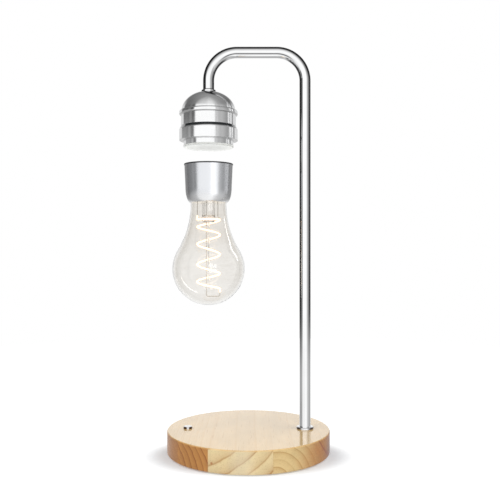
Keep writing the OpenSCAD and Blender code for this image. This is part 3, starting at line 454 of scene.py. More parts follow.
# painted reflection on the rims: the ferrule and button darken to a brown that stands in for the wood they
# would mirror, the arm and collar to near black
armChrome = mirrorFinish("armChrome", silver, 0.04, 0.08, rim=dict(
    colour=(0.025, 0.025, 0.028), start=0.1, full=0.38, tube=True))
brightChrome = mirrorFinish("brightChrome", chrome, 0.03, 0.06, rim=dict(
    colour=(0.1, 0.055, 0.03), start=0.02, full=0.3, tube=False))
collarChrome = mirrorFinish("collarChrome", chrome, 0.03, 0.06, rim=dict(
    colour=(0.02, 0.02, 0.022), start=0.1, full=0.4, tube=False))
buttonChrome = mirrorFinish("buttonChrome", chrome, 0.03, 0.06, rim=dict(
    colour=(0.11, 0.045, 0.015), start=0.004, full=0.1, tube=False))
headMirror = mirrorFinish("headMirror", silver, 0.12, 0.16, lathe=0.015, under=0.5)

# lower ring of the head: mirror metal with a black band on its bevel, painted shade that fades where it turns
# away
bandLook = dict(low=318.5, high=321.3, soft=0.05, colour=(0.012, 0.014, 0.016), fade=(0.56, 0.66), faded=0.3,
                smooth=0.13, dull=0.19, rougher=0.05, under=0.5)
bandMirror, skin, inMm = newFinish("ringMirror")
height = axes(inMm)[2]
low, high, soft = bandLook["low"], bandLook["high"], bandLook["soft"]
shadeBand = times(spread(height, low - soft, low + soft), falls(height, high, high + soft))
shadeBand = times(shadeBand, spread(slant(inMm), *bandLook["fade"], 1.0, bandLook["faded"]))
tone = blendColour(shadeBand, silver, bandLook["colour"])
feed(skin["Base Color"], paintedUnderShade(inMm, tone, bandLook["under"]))
feed(skin["Metallic"], sums("SUBTRACT", 1.0, shadeBand))
marks = handled(skin, inMm, mirrorLook["marks"], bandLook["smooth"], bandLook["dull"])
feed(skin["Roughness"], sums("MULTIPLY_ADD", shadeBand, bandLook["rougher"], marks["Roughness"]))

# satin cap of the bulb, with painted shade where it turns away and a painted reflection that makes it paler
# near its mouth; painted light on its inner wall stands in for the filament lighting it
capLook = dict(
    tone=(0.845, 0.86, 0.89), streak=(0.78, 0.795, 0.82), streaks=0.08, pitch=0.4, marks=25.0, smooth=0.26,
    dull=0.29, away=(0.2, 0.75), dark=(0.25, 0.25, 0.255), tilt=(0.2, 0.75), tilted=0.2, mouth=(248.0, 258.0),
    mouthShare=0.85, pale=(0.95, 0.95, 0.955), inner=(-4.0, 0.0), glow=(1.0, 0.97, 0.93), strength=0.62)
satinCap, skin, inMm = newFinish("capSatin", Metallic=1.0, Emission_Strength=capLook["strength"])
handled(skin, inMm, capLook["marks"], capLook["smooth"], capLook["dull"])
streak = useGroup(latheLines, {"Place": inMm, "Axis": headX, "Pitch": capLook["pitch"]})["Streak"]
streak = times(streak, capLook["streaks"])
tone = blendColour(streak, capLook["tone"], capLook["streak"])
# painted reflection: paler near the mouth
mouth = spread(axes(inMm)[2], *capLook["mouth"], capLook["mouthShare"], 0.0)
tone = blendColour(mouth, tone, capLook["pale"])
# painted shade where the cap turns away and its sides are steep
tilt = sums("ABSOLUTE", axes(normal(inMm))[2])
away = times(spread(slant(inMm), *capLook["away"]), spread(tilt, *capLook["tilt"], 1.0, capLook["tilted"]))
feed(skin["Base Color"], blendColour(away, tone, capLook["dark"]))
# painted light: the inner wall glows in place of the filament's light on it
outward = vectors("SUBTRACT", inMm, (headX, 0.0, 0.0))
outward = vectors("MULTIPLY", outward, (1.0, 1.0, 0.0))
outward = vectors("DOT_PRODUCT", outward, normal(inMm), gives="Value")
inside = falls(outward, *capLook["inner"])
feed(skin["Emission Color"], blendColour(inside, (0, 0, 0), capLook["glow"]))

# clear glass: a dark contour of painted shade inside a clear rim, faint wisps, painted shade on the neck, a
# clear lower end, slight waves
glassLook = dict(
    contour=(0.3, 0.54, 0.62, 0.72), wispSize=(0.08, 0.08, 0.3), wisp=(0.95, 0.945, 0.935), marks=20.0,
    neckLow=(192.0, 218.0), neckHigh=(228.0, 246.0), neckTop=0.85, lowEnd=(150.0, 172.0), lowShare=0.5,
    dull=0.006, waveSize=0.05, waveHeight=0.002)


def glassFinish(name, tint, edge, clear, neck, waves, bend):
    material, skin, inMm = newFinish(name, Transmission_Weight=1.0, IOR=bend, Metallic=0.0)
    look, height = glassLook, axes(inMm)[2]
    a, b, c, d = look["contour"]
    tone = ramp(slant(inMm), [(0.0, tint), (a, tint), (b, edge), (c, edge), (d, clear), (1.0, clear)])
    wisps = noise(vectors("MULTIPLY", inMm, look["wispSize"]), 1.0, 3.0)
    wisps = spread(wisps, 0.42, 0.68, 0.0, 0.5)
    tone = blendColour(wisps, tone, blendColour(1.0, tone, look["wisp"], "MULTIPLY"))
    # painted shade on the neck and shoulder
    neckShade = times(spread(height, *look["neckLow"]), spread(height, *look["neckHigh"], 1.0, look["neckTop"]))
    tone = blendColour(neckShade, tone, blendColour(1.0, tone, neck, "MULTIPLY"))
    lowEnd = spread(height, *look["lowEnd"], look["lowShare"], 0.0)
    feed(skin["Base Color"], blendColour(lowEnd, tone, clear))
    handled(skin, inMm, look["marks"], 0.0, look["dull"])
    wave = noise(inMm, look["waveSize"], 1.0)
    feed(skin["Normal"], bumped(wave, waves, look["waveHeight"]))
    return material


bulbGlass = glassFinish("bulbGlass", tint=(0.945, 0.932, 0.91), edge=(0.83, 0.815, 0.785),
                        clear=(0.985, 0.98, 0.965), neck=(0.96, 0.952, 0.942), waves=0.05, bend=1.47)
# the stem bends light more than glass does, so that its edges show
stemGlass = glassFinish("stemGlass", tint=(1.0, 1.0, 1.0), edge=(0.55, 0.545, 0.53),
                        clear=(0.97, 0.97, 0.96), neck=(1.0, 1.0, 1.0), waves=0.1, bend=1.8)

# filament: a white-hot core in an amber shell of painted glow that stands in for the halo round the hot wire
# and lets the core show through
filamentCore, skin, inMm = newFinish(
    "filamentCore", Emission_Strength=2.6, Roughness=0.5, Base_Color=(1.0, 0.9, 0.7))
chips = noise(inMm, 0.9, 1.0)
feed(skin["Emission Color"], blendColour(chips, (1.0, 0.94, 0.82), (1.0, 0.98, 0.92)))
filamentHalo, skin, inMm = newFinish(
    "filamentHalo", Emission_Strength=1.0, Roughness=0.4, Base_Color=(0.1, 0.05, 0.02))
chips = noise(inMm, 0.6, 1.0)
feed(skin["Emission Color"], blendColour(chips, (1.0, 0.55, 0.24), (1.0, 0.66, 0.36)))
feed(skin["Alpha"], spread(chips, 0.3, 0.7, 0.42, 0.54))

# varnished wood: three glued staves along Y, each with its own pith; rings round the rim, long grain on top
staves = [
    dict(pith=(-97.0, -6.0), pitch=5.2, wobble=7.0, pale=(0.555, 0.255, 0.066), dark=(0.25, 0.065, 0.014)),
    dict(pith=(-79.0, 108.0), pitch=12.2, wobble=7.0, pale=(0.78, 0.62, 0.34), dark=(0.46, 0.23, 0.07)),
    dict(pith=(24.0, -5.0), pitch=6.5, wobble=3.0, pale=(0.72, 0.53, 0.25), dark=(0.48, 0.27, 0.085)),
]
woodLook = dict(
    joints=(-36.0, 22.0), jointSoft=0.08, veinLean=(0.15, -0.4), veinX=81.34, heartX=-6.0,
    knotAt=(-32.7, -73.0, 9.6),
    top=(0.90, 0.645, 0.325), streak=(0.78, 0.46, 0.15), pore=(0.55, 0.28, 0.08), glue=(0.4, 0.22, 0.09),
    edgeHighlight=(0.8, 0.5, 0.2), rightEnd=(0.42, 0.155, 0.035), farEnd=(0.16, 0.04, 0.014), vein=(0.26, 0.05, 0.02),
    leftEnd=(0.42, 0.19, 0.075), heart=(0.86, 0.74, 0.52), knot=(0.42, 0.15, 0.04), fibre=(0.2, 0.06, 0.02),
    speck=(0.3, 0.14, 0.05))
wood, skin, inMm = newFinish("varnishedWood", Coat_Roughness=0.05, Coat_IOR=1.5, Specular_IOR_Level=0.45)
parts, facing = axes(inMm), axes(normal(inMm))
grain = useGroup(longGrain, {"Place": inMm})
rim, relief = None, None
for number, stave in enumerate(staves):
    ring = useGroup(growthRings, {
        "Place": inMm, "PithX": stave["pith"][0], "PithZ": stave["pith"][1],
        "Pitch": stave["pitch"], "Wobble": stave["wobble"]})["Ring"]
    tone = blendColour(ring, stave["pale"], stave["dark"])
    if number == 0:
        rim, relief = tone, ring
        continue
    joint, soft = woodLook["joints"][number - 1], woodLook["jointSoft"]
    share = spread(parts[0], joint - soft, joint + soft)
    rim = blendColour(share, rim, tone)
    relief = blendValue(share, relief, ring)
stray = sums("MULTIPLY_ADD", sums("SUBTRACT", grain["Cloud"], 0.5), 7.0, parts[0])
veinX = sums("MULTIPLY_ADD", parts[2], woodLook["veinLean"][1], woodLook["veinX"])
veinX = sums("MULTIPLY_ADD", parts[1], woodLook["veinLean"][0], veinX)
knot = vectors("DISTANCE", inMm, woodLook["knotAt"], gives="Value")
endGrain = spread(sums("ABSOLUTE", facing[0]), 0.5, 0.95, 0.0, 0.4)
# tints of the rim, one over another: glue lines, reddish ends, a leaning vein, a pale middle, a knot, specks
glueLines = [("glue", spread(offBy(parts[0], x), 0.05, 0.3, 0.25, 0.0)) for x in woodLook["joints"]]
for name, share in glueLines + [
        ("rightEnd", spread(stray, 38.0, 74.0, 0.0, 0.9)),
        ("farEnd", spread(stray, 68.0, 78.0, 0.0, 0.85)),
        ("vein", spread(offBy(parts[0], veinX), 0.1, 0.9, 0.75, 0.0)),
        ("leftEnd", spread(parts[0], -66.0, -65.0, 0.6, 0.0)),
        ("heart", spread(offBy(parts[0], woodLook["heartX"]), 2.0, 16.0, 0.45, 0.0)),
        ("knot", spread(knot, 0.5, 1.8, 0.8, 0.0)),
        ("fibre", times(grain["Fibre"], endGrain)),
        ("speck", spread(noise(inMm, 0.9, 3.0, 0.7), 0.5, 0.8, 0.0, 0.45))]:
    rim = blendColour(share, rim, woodLook[name])
board = woodLook["top"]
boardTints = [("streak", grain["Fibre"], 0.22), ("streak", relief, 0.4), ("pore", grain["Pore"], 0.34)]
for name, mask, share in boardTints:
    board = blendColour(times(mask, share), board, woodLook[name])
top = spread(facing[2], 0.7, 0.95)
# painted highlight: a golden line where the top rounds over into the rim
edge = times(spread(facing[2], 0.1, 0.4, 0.0, 0.4), falls(facing[2], 0.85, 0.98))
colour = blendColour(edge, blendColour(top, rim, board), woodLook["edgeHighlight"])
cloudy = spread(grain["Cloud"], 0.0, 1.0, 0.93, 1.04, smooth=False)
feed(skin["Base Color"], scaled(colour, cloudy))
feed(skin["Coat Weight"], times(top, 0.95))
roughness = spread(grain["Fibre"], 0.0, 1.0, 0.3, 0.42)
feed(skin["Roughness"], sums("MULTIPLY_ADD", top, -0.2, roughness))
feed(skin["Normal"], bumped(sums("ADD", grain["Fibre"], relief), 0.03, 0.0002))
print("finishes made")

# what the other nodes are made of, by their slot in the record
plainFinishes = {
    "cover_black": dict(colour=(0.03, 0.03, 0.033), smooth=0.45, dull=0.6, grain=0.5, depth=0.3),
    "screw_steel": dict(colour=(0.55, 0.55, 0.57), smooth=0.25, dull=0.4, grain=0.3, depth=0.1, metal=1.0),
    "pad_rubber": dict(colour=(0.05, 0.05, 0.05), smooth=0.7, dull=0.85, grain=0.4, depth=0.35),
    "ballast_steel": dict(colour=(0.2, 0.21, 0.22), smooth=0.4, dull=0.55, grain=0.8, depth=0.2),
    "circuit_board": dict(colour=(0.03, 0.2, 0.1), smooth=0.3, dull=0.45, grain=1.2, depth=0.1),
    "component_black": dict(colour=(0.04, 0.04, 0.042), smooth=0.4, dull=0.55, grain=0.35, depth=0.2),
    "lead_red": dict(colour=(0.5, 0.04, 0.035), smooth=0.35, dull=0.5, grain=0.6, depth=0.05),
    "cable_white": dict(colour=(0.8, 0.8, 0.79), smooth=0.4, dull=0.5, grain=0.6, depth=0.05),
    "bush_grey": dict(colour=(0.3, 0.3, 0.3), smooth=0.45, dull=0.6, grain=0.4, depth=0.15),
    "spring_steel": dict(colour=(0.6, 0.6, 0.6), smooth=0.2, dull=0.35, grain=0.3, depth=0.05, metal=1.0),
    "moulding_white": dict(colour=(0.8, 0.8, 0.77), smooth=0.4, dull=0.55, grain=0.5, depth=0.12),
    "nut_steel": dict(colour=(0.6, 0.6, 0.62), smooth=0.2, dull=0.35, grain=0.4, depth=0.08, metal=1.0),
    "end_ivory": dict(colour=(0.78, 0.785, 0.75), smooth=0.35, dull=0.45, grain=0.8, depth=0.04, shift=0.03),
    "winding_copper": dict(colour=(0.72, 0.36, 0.18), smooth=0.25, dull=0.4, grain=0.25, depth=0.4, metal=1.0),
    "ferrite_grey": dict(colour=(0.08, 0.08, 0.085), smooth=0.55, dull=0.7, grain=0.5, depth=0.2),
    "core_iron": dict(colour=(0.35, 0.35, 0.36), smooth=0.4, dull=0.55, grain=0.5, depth=0.15, metal=1.0),
    "magnet_nickel": dict(colour=(0.7, 0.67, 0.62), smooth=0.15, dull=0.3, grain=0.5, depth=0.05, metal=1.0),
    "disc_black": dict(colour=(0.025, 0.026, 0.028), smooth=0.35, dull=0.5, grain=0.5, depth=0.15),
    "lead_nickel": dict(colour=(0.78, 0.76, 0.72), smooth=0.3, dull=0.4, grain=0.3, depth=0.05, metal=0.6),
}
finishOf = {slot: mouldedFinish(slot, **look) for slot, look in plainFinishes.items()}
# painted light: the thin ivory face of the end cover that faces down glows, standing in for light that falls
# on it from below
ivoryPaintedGlow = dict(colour=(0.93, 0.935, 0.9), strength=0.46, below=(-0.98, -0.8))
skin = finishOf["end_ivory"].node_tree.nodes["Principled BSDF"].inputs
below = falls(axes(normal(skin[0]))[2], *ivoryPaintedGlow["below"])
feed(skin["Emission Color"], blendColour(below, (0, 0, 0), ivoryPaintedGlow["colour"]))
feed(skin["Emission Strength"], ivoryPaintedGlow["strength"])
finishOf.update(varnished_wood=wood, button_chrome=buttonChrome, arm_chrome=armChrome, head_metal=headMirror,
                cap_satin=satinCap, bulb_glass=bulbGlass, stem_glass=stemGlass, filament_glow=filamentCore)
for entry in frame["record"]["subparts"]:
    node = frame["nodes"][entry["node"]]
    node.data.materials.clear()
    node.data.materials.append(finishOf[entry["material_slot"]])

# base

base = dict(radius=80.0, low=1.0, top=22.5, edge=1.2, recess=75.0, pocket=68.0, coverTop=3.0, web=15.0,
            buttonX=-60.0, buttonHole=4.55, poleHole=5.1, holeLow=8.0, holeTop=30.0,
            inletHole=6.0, inletZ=10.1, inletFrom=66.0, inletTo=90.0)
corners = outline(base, "0 web, pocket web, pocket coverTop, recess coverTop, recess low, radius low, "
                  "radius top, 0 top")
radii = [0, 0, 0, 0, 0.3, base["edge"], base["edge"], 0]
block = turned("woodBlock", softCorners(corners, radii, steps=8), steps=256, x=0.0)


def plug(name, radius, low, high, x):
    return turned(name, [(0, low), (radius, low), (radius, high), (0, high)], steps=72, x=x)


buttonCut = plug("buttonCut", base["buttonHole"], base["holeLow"], base["holeTop"], base["buttonX"])
poleCut = plug("poleCut", base["poleHole"], base["holeLow"], base["holeTop"], poleX)
inletCut = plug("inletCut", base["inletHole"], base["inletFrom"], base["inletTo"], 0.0)
upright = np.empty(len(inletCut.data.vertices) * 3, np.float32)
inletCut.data.vertices.foreach_get("co", upright)
upright = upright.reshape(-1, 3)
laid = np.stack([-upright[:, 0], upright[:, 2], upright[:, 1] + base["inletZ"] * mm], 1)  # laid along +Y
inletCut.data.vertices.foreach_set("co", laid.ravel())
cutters = [buttonCut, poleCut, inletCut]
for cutter in cutters:
    cut = block.modifiers.new(cutter.name, "BOOLEAN")
    cut.operation, cut.solver, cut.object = "DIFFERENCE", "EXACT", cutter
cutMesh = bpy.data.meshes.new_from_object(block.evaluated_get(bpy.context.evaluated_depsgraph_get()))
block.modifiers.clear()
block.data = cutMesh
smoothMesh(cutMesh, sharpFrom)
for cutter in cutters:
    bpy.data.objects.remove(cutter)
place(block, "stand", "varnished_wood", "wood_base")
for name in frame["nodes"]:  # the chrome in the photograph mirrors the table, not the wood or what it holds
    frame["nodes"][name].visible_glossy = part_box(name)[0][2] > base["top"] * mm - 0.001
block.visible_glossy = False

button = dict(stem=3.0, stemLow=10.9, flange=5.6, flangeLow=13.4, flangeTop=14.9, radius=4.25, top=24.5)
corners = outline(button, "0 stemLow, stem stemLow, stem flangeLow, flange flangeLow, flange flangeTop, "
                  "radius flangeTop, radius top, 0 top")
radii = [0, 0.2, 0, 0.2, 0.2, 0, 0.55, 0]
knob = turned("buttonCap", softCorners(corners, radii), steps=96, x=base["buttonX"])
place(knob, "button", "button_chrome", "button_cap")

spring = dict(radius=4.743, wire=0.29, low=5.9, high=13.1, turns=5, foot=5.6, flange=13.4, press=0.8)
# helix: radius (cos a, sin a), rising evenly
a = np.linspace(0, 2 * np.pi * spring["turns"], 40 * spring["turns"] + 1)
radial = np.stack([np.cos(a), np.sin(a), 0 * a], 1)
rise = np.linspace(spring["low"], spring["high"], len(a))
helix = spring["radius"] * radial + np.stack([0 * a + base["buttonX"], 0 * a, rise], 1)
wire = rod("returnSpring", helix, radial, spring["wire"], sides=10)
place(wire, "stand", "spring_steel", "button_spring")
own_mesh(wire)
print("base made")

# arm

arm = dict(radius=5.5, bore=4.0, turned=5.0, ferruleTop=24.5, poleLow=9.0, bend=28.0, top=394.5,
           collarTop=357.196, dropLow=348.596, near=0.2)


def armTube(look):
    # section carried up the pole, round two quarter bends and down to the head; the bore runs back inside it
    ferrule, collar, near, bend = look["ferruleTop"], look["collarTop"], look["near"], look["bend"]
    straightTop = look["top"] - bend
    t = np.linspace(0, np.pi / 2, 41)
    poleZ = np.array([look["poleLow"], ferrule, ferrule, ferrule + near, straightTop - near])
    dropZ = np.array([straightTop - near, collar + near, collar, collar, look["dropLow"]])
    poleBend, dropBend = poleX - bend, headX + bend
    run = np.array([poleBend - near, dropBend + near])
    x = np.concatenate([np.full(5, poleX), poleBend + bend * np.cos(t), run, dropBend - bend * np.sin(t),
                        np.full(5, headX)])
    z = np.concatenate([poleZ, straightTop + bend * np.sin(t), np.full(2, look["top"]),
                        straightTop + bend * np.cos(t), dropZ])
    # heading 0 is up, then it turns towards -X
    heading = np.concatenate([np.zeros(5), t, np.full(2, np.pi / 2), np.pi / 2 + t, np.full(5, np.pi)])
    thick = np.full((len(x), 1, 1), look["radius"])
    thick[:2] = thick[-2:] = look["turned"]
    path = np.stack([x, 0 * x, z], 1)[:, None]
    outward = np.stack([np.cos(heading), 0 * x, np.sin(heading)], 1)[:, None]
    a = roundAngles(72)[None, :, None]
    circle = np.cos(a) * outward + np.sin(a) * np.array([0.0, 1.0, 0.0])
    outer, inner = path + thick * circle, path + look["bore"] * circle
    return ringGrid("armTube", np.concatenate([outer, inner[::-1]]), loop=True)


place(armTube(arm), "stand", "arm_chrome", "arm_tube")
ferrule = dict(bore=5.1, radius=8.4, low=22.5, high=24.5, lowEdge=0.3, highEdge=0.9)
collar = dict(bore=5.1, radius=7.1, low=355.196, high=357.196, lowEdge=0.25, highEdge=0.6)
for name, look, x, finish, node in (("ferrule", ferrule, poleX, brightChrome, "pole_ferrule"),
                                    ("collar", collar, headX, collarChrome, "head_collar")):
    corners = outline(look, "bore low, radius low, radius high, bore high")
    piece = turned(name, softCorners(corners, [0, look["lowEdge"], look["highEdge"], 0.1]), steps=128, x=x)
    place(piece, "stand", "arm_chrome", node, finish=finish)
print("arm made")

# head

head = dict(
    ring=29.0, dome=26.6, rise=19.4, domeLow=336.5, wall=1.2, finLow=332.0, finEdge=1.4, beadR=1.55,
    beadZ=335.06, beadTurn=115.0, waist=(26.6, 336.3), flareTop=337.0, crown=355.196, ceiling=353.396,
    bore=5.1, sleeve=27.2, sleeveBore=24.0, spigot=25.3, spigotTop=335.2, lip=26.2, lipLow=316.0,
    lipTop=318.0, ringLow=307.0, ringSide=317.6, ringTop=321.2, ringEdge=0.3, ringBore=24.8, ringLip=26.3,
    cup=24.7, cupBore=23.2, cupLow=302.0, end=300.0, endEdge=1.4, endSpigot=23.1, endBore=21.5, endTop=304.5)


def domeProfile(look):
    # an ellipse; below it the dome flares out to the fin: (1-t)^2 fin + 2t(1-t) waist + t^2 dome,
    # and the fin's edge rounds over
    middle, wide, high = (0, look["domeLow"]), look["dome"], look["rise"]
    inner, innerHigh = wide - look["wall"], high - look["wall"]
    low, top = np.degrees(np.arcsin((np.array([look["flareTop"], look["crown"]]) - middle[1]) / high))
    innerTop = np.degrees(np.arcsin((look["ceiling"] - middle[1]) / innerHigh))
    outerCurve = ovalArc(middle, wide, high, low, top, 60)
    innerCurve = ovalArc(middle, inner, innerHigh, innerTop, 0, 40)
    beadR = look["beadR"]
    bead = ovalArc((look["ring"] - beadR, look["beadZ"]), beadR, beadR, 0, look["beadTurn"], 10)
    t = np.linspace(0, 1, 24)[1:-1, None]
    flare = (1 - t) ** 2 * bead[-1] + 2 * t * (1 - t) * np.array(look["waist"]) + t**2 * outerCurve[0]
    rimCurve = np.concatenate([bead, flare, outerCurve])
    finSide = [(inner, look["finLow"]), (look["ring"], look["finLow"])]
    hole = outline(look, "bore crown, bore ceiling")
    radii = [[0.2, look["finEdge"]], -np.ones(len(rimCurve)), [0.1, 0.1], -np.ones(len(innerCurve))]
    return softCorners(np.concatenate([finSide, rimCurve, hole, innerCurve]), np.concatenate(radii), steps=10)


place(turned("domeCover", domeProfile(head)), "stand", "head_metal", "dome_cover")
corners = outline(head, "sleeveBore lipTop, lip lipTop, lip ringTop, sleeve ringTop, sleeve finLow, "
                  "spigot finLow, spigot spigotTop, sleeveBore spigotTop")
sleeve = turned("headSleeve", softCorners(corners, [0.1] * 8))
place(sleeve, "stand", "head_metal", "head_sleeve")
corners = outline(head, "ringBore ringLow, ring ringLow, ring ringSide, sleeve ringTop, ringLip ringTop, "
                  "ringLip lipLow, ringBore lipLow")
lowerRing = turned("lowerRing", softCorners(corners, [0.1, head["ringEdge"], 0.25, 0.1, 0.1, 0.1, 0.1]))
place(lowerRing, "stand", "head_metal", "lower_ring", finish=bandMirror)
corners = outline(head, "cupBore cupLow, cup cupLow, cup lipLow, lip lipLow, lip lipTop, cupBore lipTop")
cup = turned("bottomCup", softCorners(corners, [0.1, 0.15, 0.1, 0.1, 0.1, 0.1]))
place(cup, "stand", "head_metal", "bottom_cup")
corners = outline(head, "0 end, cup end, cup cupLow, endSpigot cupLow, endSpigot endTop, endBore endTop, "
                  "endBore cupLow, 0 cupLow")
endCover = turned("endCover", softCorners(corners, [0, head["endEdge"], 0.1, 0, 0.2, 0.2, 0, 0]))
place(endCover, "stand", "end_ivory", "end_cover")
print("head made")

# bulb

disc = dict(radius=24.3, low=282.9, high=284.1)
corners = outline(disc, "0 low, radius low, radius high, 0 high")
magnetDisc = turned("magnetDisc", softCorners(corners, [0, 0.25, 0.45, 0]))
place(magnetDisc, "bulb", "disc_black", "magnet_cover")

cap = dict(top=282.9, topR=23.9, topBore=22.8, roundZ=261.0, roundR=17.5, wide=5.4, high=15.5, low=246.0,
           wall=1.1, mouth=17.9)


def capProfile(look):
    # straight sides that run into a rounded lower end; the inner wall follows the outer one
    middle, innerWide = (look["roundR"], look["roundZ"]), look["wide"] - look["wall"]
    mouthAngle = np.degrees(np.arcsin((look["roundZ"] - look["low"]) / look["high"]))
    boreAngle = np.degrees(np.arccos((look["mouth"] - look["roundR"]) / innerWide))
    outerCurve = ovalArc(middle, look["wide"], -look["high"], mouthAngle, 0, 36)
    innerCurve = ovalArc(middle, innerWide, look["wall"] - look["high"], 0, boreAngle, 24)
    corners = [outline(look, "mouth low"), outerCurve, outline(look, "topR top, topBore top"), innerCurve]
    radii = [[0.0], -np.ones(len(outerCurve)), [0.12, 0.0], -np.ones(len(innerCurve))]
    return softCorners(np.concatenate(corners), np.concatenate(radii))


place(turned("bulbCap", capProfile(cap)), "bulb", "cap_satin", "bulb_cap")

glass = dict(radius=35.7, ballZ=180.2, neck=17.7, shoulderZ=244.0, neckZ=(250.0, 256.0, 262.0), wall=1.0)


def glassProfile(look):
    # ball, hollow shoulder arc that touches ball and neck, straight neck; the inner wall runs back inside
    radius, neckR, wall = look["radius"], look["neck"], look["wall"]
    rise = look["shoulderZ"] - look["ballZ"]
    bend = (neckR**2 + rise**2 - radius**2) / (2 * (radius - neckR))
    touch = np.degrees(np.arcsin(rise / (radius + bend)))
    middle, far = (0, look["ballZ"]), (neckR + bend, look["shoulderZ"])
    ball = ovalArc(middle, radius, radius, -90, touch, 90)
    shoulder = ovalArc(far, bend, bend, 180 + touch, 180, 50)[1:]
    neck = np.array([(neckR, z) for z in look["neckZ"]])
    innerNeck = neck[::-1] - [wall, 0]
    innerShoulder = ovalArc(far, bend + wall, bend + wall, 180, 180 + touch, 50)
    innerBall = ovalArc(middle, radius - wall, radius - wall, touch, -90, 90)[1:]
    profile = np.concatenate([ball, shoulder, neck, innerNeck, innerShoulder, innerBall])
    profile[np.abs(profile[:, 0]) < 1e-6, 0] = 0
    return profile


envelope = turned("glassEnvelope", glassProfile(glass), steps=160)
place(envelope, "bulb", "bulb_glass", "glass_bulb")

stem = dict(radius=6.5, bore=4.5, low=226.0, tip=231.5, flareLow=259.5, flareTop=261.0, flare=16.6, rodR=0.9,
            rodLow=159.0)
corners = outline(stem, "0 low, radius low, radius flareLow, flare flareLow, flare flareTop, bore flareTop, "
                  "bore tip, 0 tip")
radii = [0, 2.6, 7.0, 0.6, 0.6, 2.0, 2.0, 0]
glassStem = turned("glassStem", softCorners(corners, radii, steps=12), steps=96)
place(glassStem, "bulb", "stem_glass", "bulb_stem")
corners = outline(stem, "0 rodLow, rodR rodLow, rodR low, 0 low")
centreRod = turned("centreRod", softCorners(corners, [0, 0.7, 0.1, 0]), steps=32)
place(centreRod, "bulb", "stem_glass", "stem_rod")

coil = dict(radius=11.2, top=229.0, height=68.0, turns=4, swing=2.0, endBend=2.0, endRise=2.0, core=0.85,
            halo=1.3)


def filamentLine(look):
    # down from the upper lead, level for half a turn, then z = top - height u + swing sin(2 pi u) round the
    # turns, and down to the lower lead; places along the circle are arc lengths
    r, bend, top = look["radius"], look["endBend"], look["top"]
    start, length = -np.pi * r, 2 * np.pi * look["turns"] * r
    bottom, tail = top - look["height"], bend + look["endRise"]
    t = np.linspace(0, np.pi / 2, 9)
    u = np.linspace(0, 1, 48 * look["turns"] + 1)[1:-1]
    level = np.linspace(start + bend, 0, 25)[1:]
    s = np.concatenate([[start], start + bend * (1 - np.cos(t)), level, u * (length - bend),
                        length - bend * (1 - np.sin(t)), [length]])
    z = np.concatenate([[top + tail], top + bend * (1 - np.sin(t)), 0 * level + top,
                        top - look["height"] * u + look["swing"] * np.sin(2 * np.pi * u),
                        bottom - bend * (1 - np.cos(t)), [bottom - tail]])
    return np.stack([headX + r * np.cos(s / r), r * np.sin(s / r), z], 1)


line = filamentLine(coil)
radial = (line - [headX, 0, 0]) * [1, 1, 0]
core = rod("filamentCore", line, radial, coil["core"], sides=12)
place(core, "bulb", "filament_glow", "filament")
halo = rod("filamentHalo", line, radial, coil["halo"], sides=16)
halo.data.materials.append(filamentHalo)
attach(halo, "bulb")


def quarter(centre, start, end, radius):
    # quarter bend between two square directions from its centre
    t = np.linspace(0, np.pi / 2, 10)[:, None]
    return np.array(centre) + radius * (np.cos(t) * np.array(start) + np.sin(t) * np.array(end))


lead = dict(radius=0.4, bend=2.0, end=4.0, drop=8.0, lowerX=-2.2, halfway=247.0, hookZ=232.5)
left, down, right = (-1, 0, 0), (0, 0, -1), (1, 0, 0)
leftX, rightX, bend = headX - coil["radius"], headX + coil["radius"], lead["bend"]
lowerX, lowZ = headX + lead["lowerX"], coil["top"] - coil["height"] - lead["drop"]
upperZ = [stem["flareTop"], lead["halfway"], coil["top"] + lead["end"]]
wires = dict(
    upperLead=np.array([(leftX, 0, z) for z in upperZ]),
    lowerLead=np.concatenate([
        [(lowerX, 0, stem["tip"])], quarter((lowerX + bend, 0, lowZ + bend), left, down, bend),
        quarter((rightX - bend, 0, lowZ + bend), down, right, bend), [(rightX, 0, lowZ + lead["end"])]]),
    supportWire=np.concatenate([
        [(rightX - bend, 0, stem["flareTop"])], quarter((rightX, 0, lead["hookZ"]), left, down, bend)]))
for name, path in wires.items():
    side = np.tile([0.0, 1.0, 0.0], (len(path), 1))
    wire = rod(name, path, side, lead["radius"], sides=12)
    place(wire, "bulb", "lead_nickel", "filament_leads")
print("bulb made")

# stage, light and camera

floorLook = dict(radius=900.0, albedo=(0.84, 0.87, 0.9), glow=1.2, share=0.16, bounce=0.25,
                 openFrom=0.080, openFull=0.116, forward=0.026, narrow=1.5)
a = roundAngles(96)
circle = np.stack([np.cos(a), np.sin(a), 0 * a], 1)[None] * floorLook["radius"]
floor = ringGrid("floor", circle, high=(0, 0, 0))
paper = bpy.data.materials.new("paperFloor")
tree = freshTree(paper)
spot = addNode(tree, "Mapping", {
    0: addNode(tree, "TexCoord").outputs["Object"], 1: (0.0, floorLook["forward"], 0.0),
    3: (1.0, floorLook["narrow"], 1.0)})
away = join("VectorMath", {0: spot.outputs[0]}, operation="LENGTH").outputs["Value"]
path = addNode(tree, "LightPath").outputs
matt = addNode(tree, "BsdfDiffuse", {"Color": floorLook["albedo"]})
strength = spread(path["Is Transmission Ray"], 0.0, 1.0, floorLook["glow"], 1.0)
glow = addNode(tree, "Emission", {"Color": (1, 1, 1), "Strength": strength})
seen = sums("MAXIMUM", path["Is Camera Ray"], path["Is Transmission Ray"])
share = spread(away, floorLook["openFrom"], floorLook["openFull"], floorLook["share"], 1.0)
share = blendValue(seen, floorLook["bounce"], share)  # what is seen is white beyond the shadow
mixed = addNode(tree, "MixShader", {0: share, 1: matt.outputs[0], 2: glow.outputs[0]})
addNode(tree, "OutputMaterial", {"Surface": mixed.outputs[0]})
floor.data.materials.append(paper)
floor.visible_glossy = False  # mirrors show the studio's ground instead

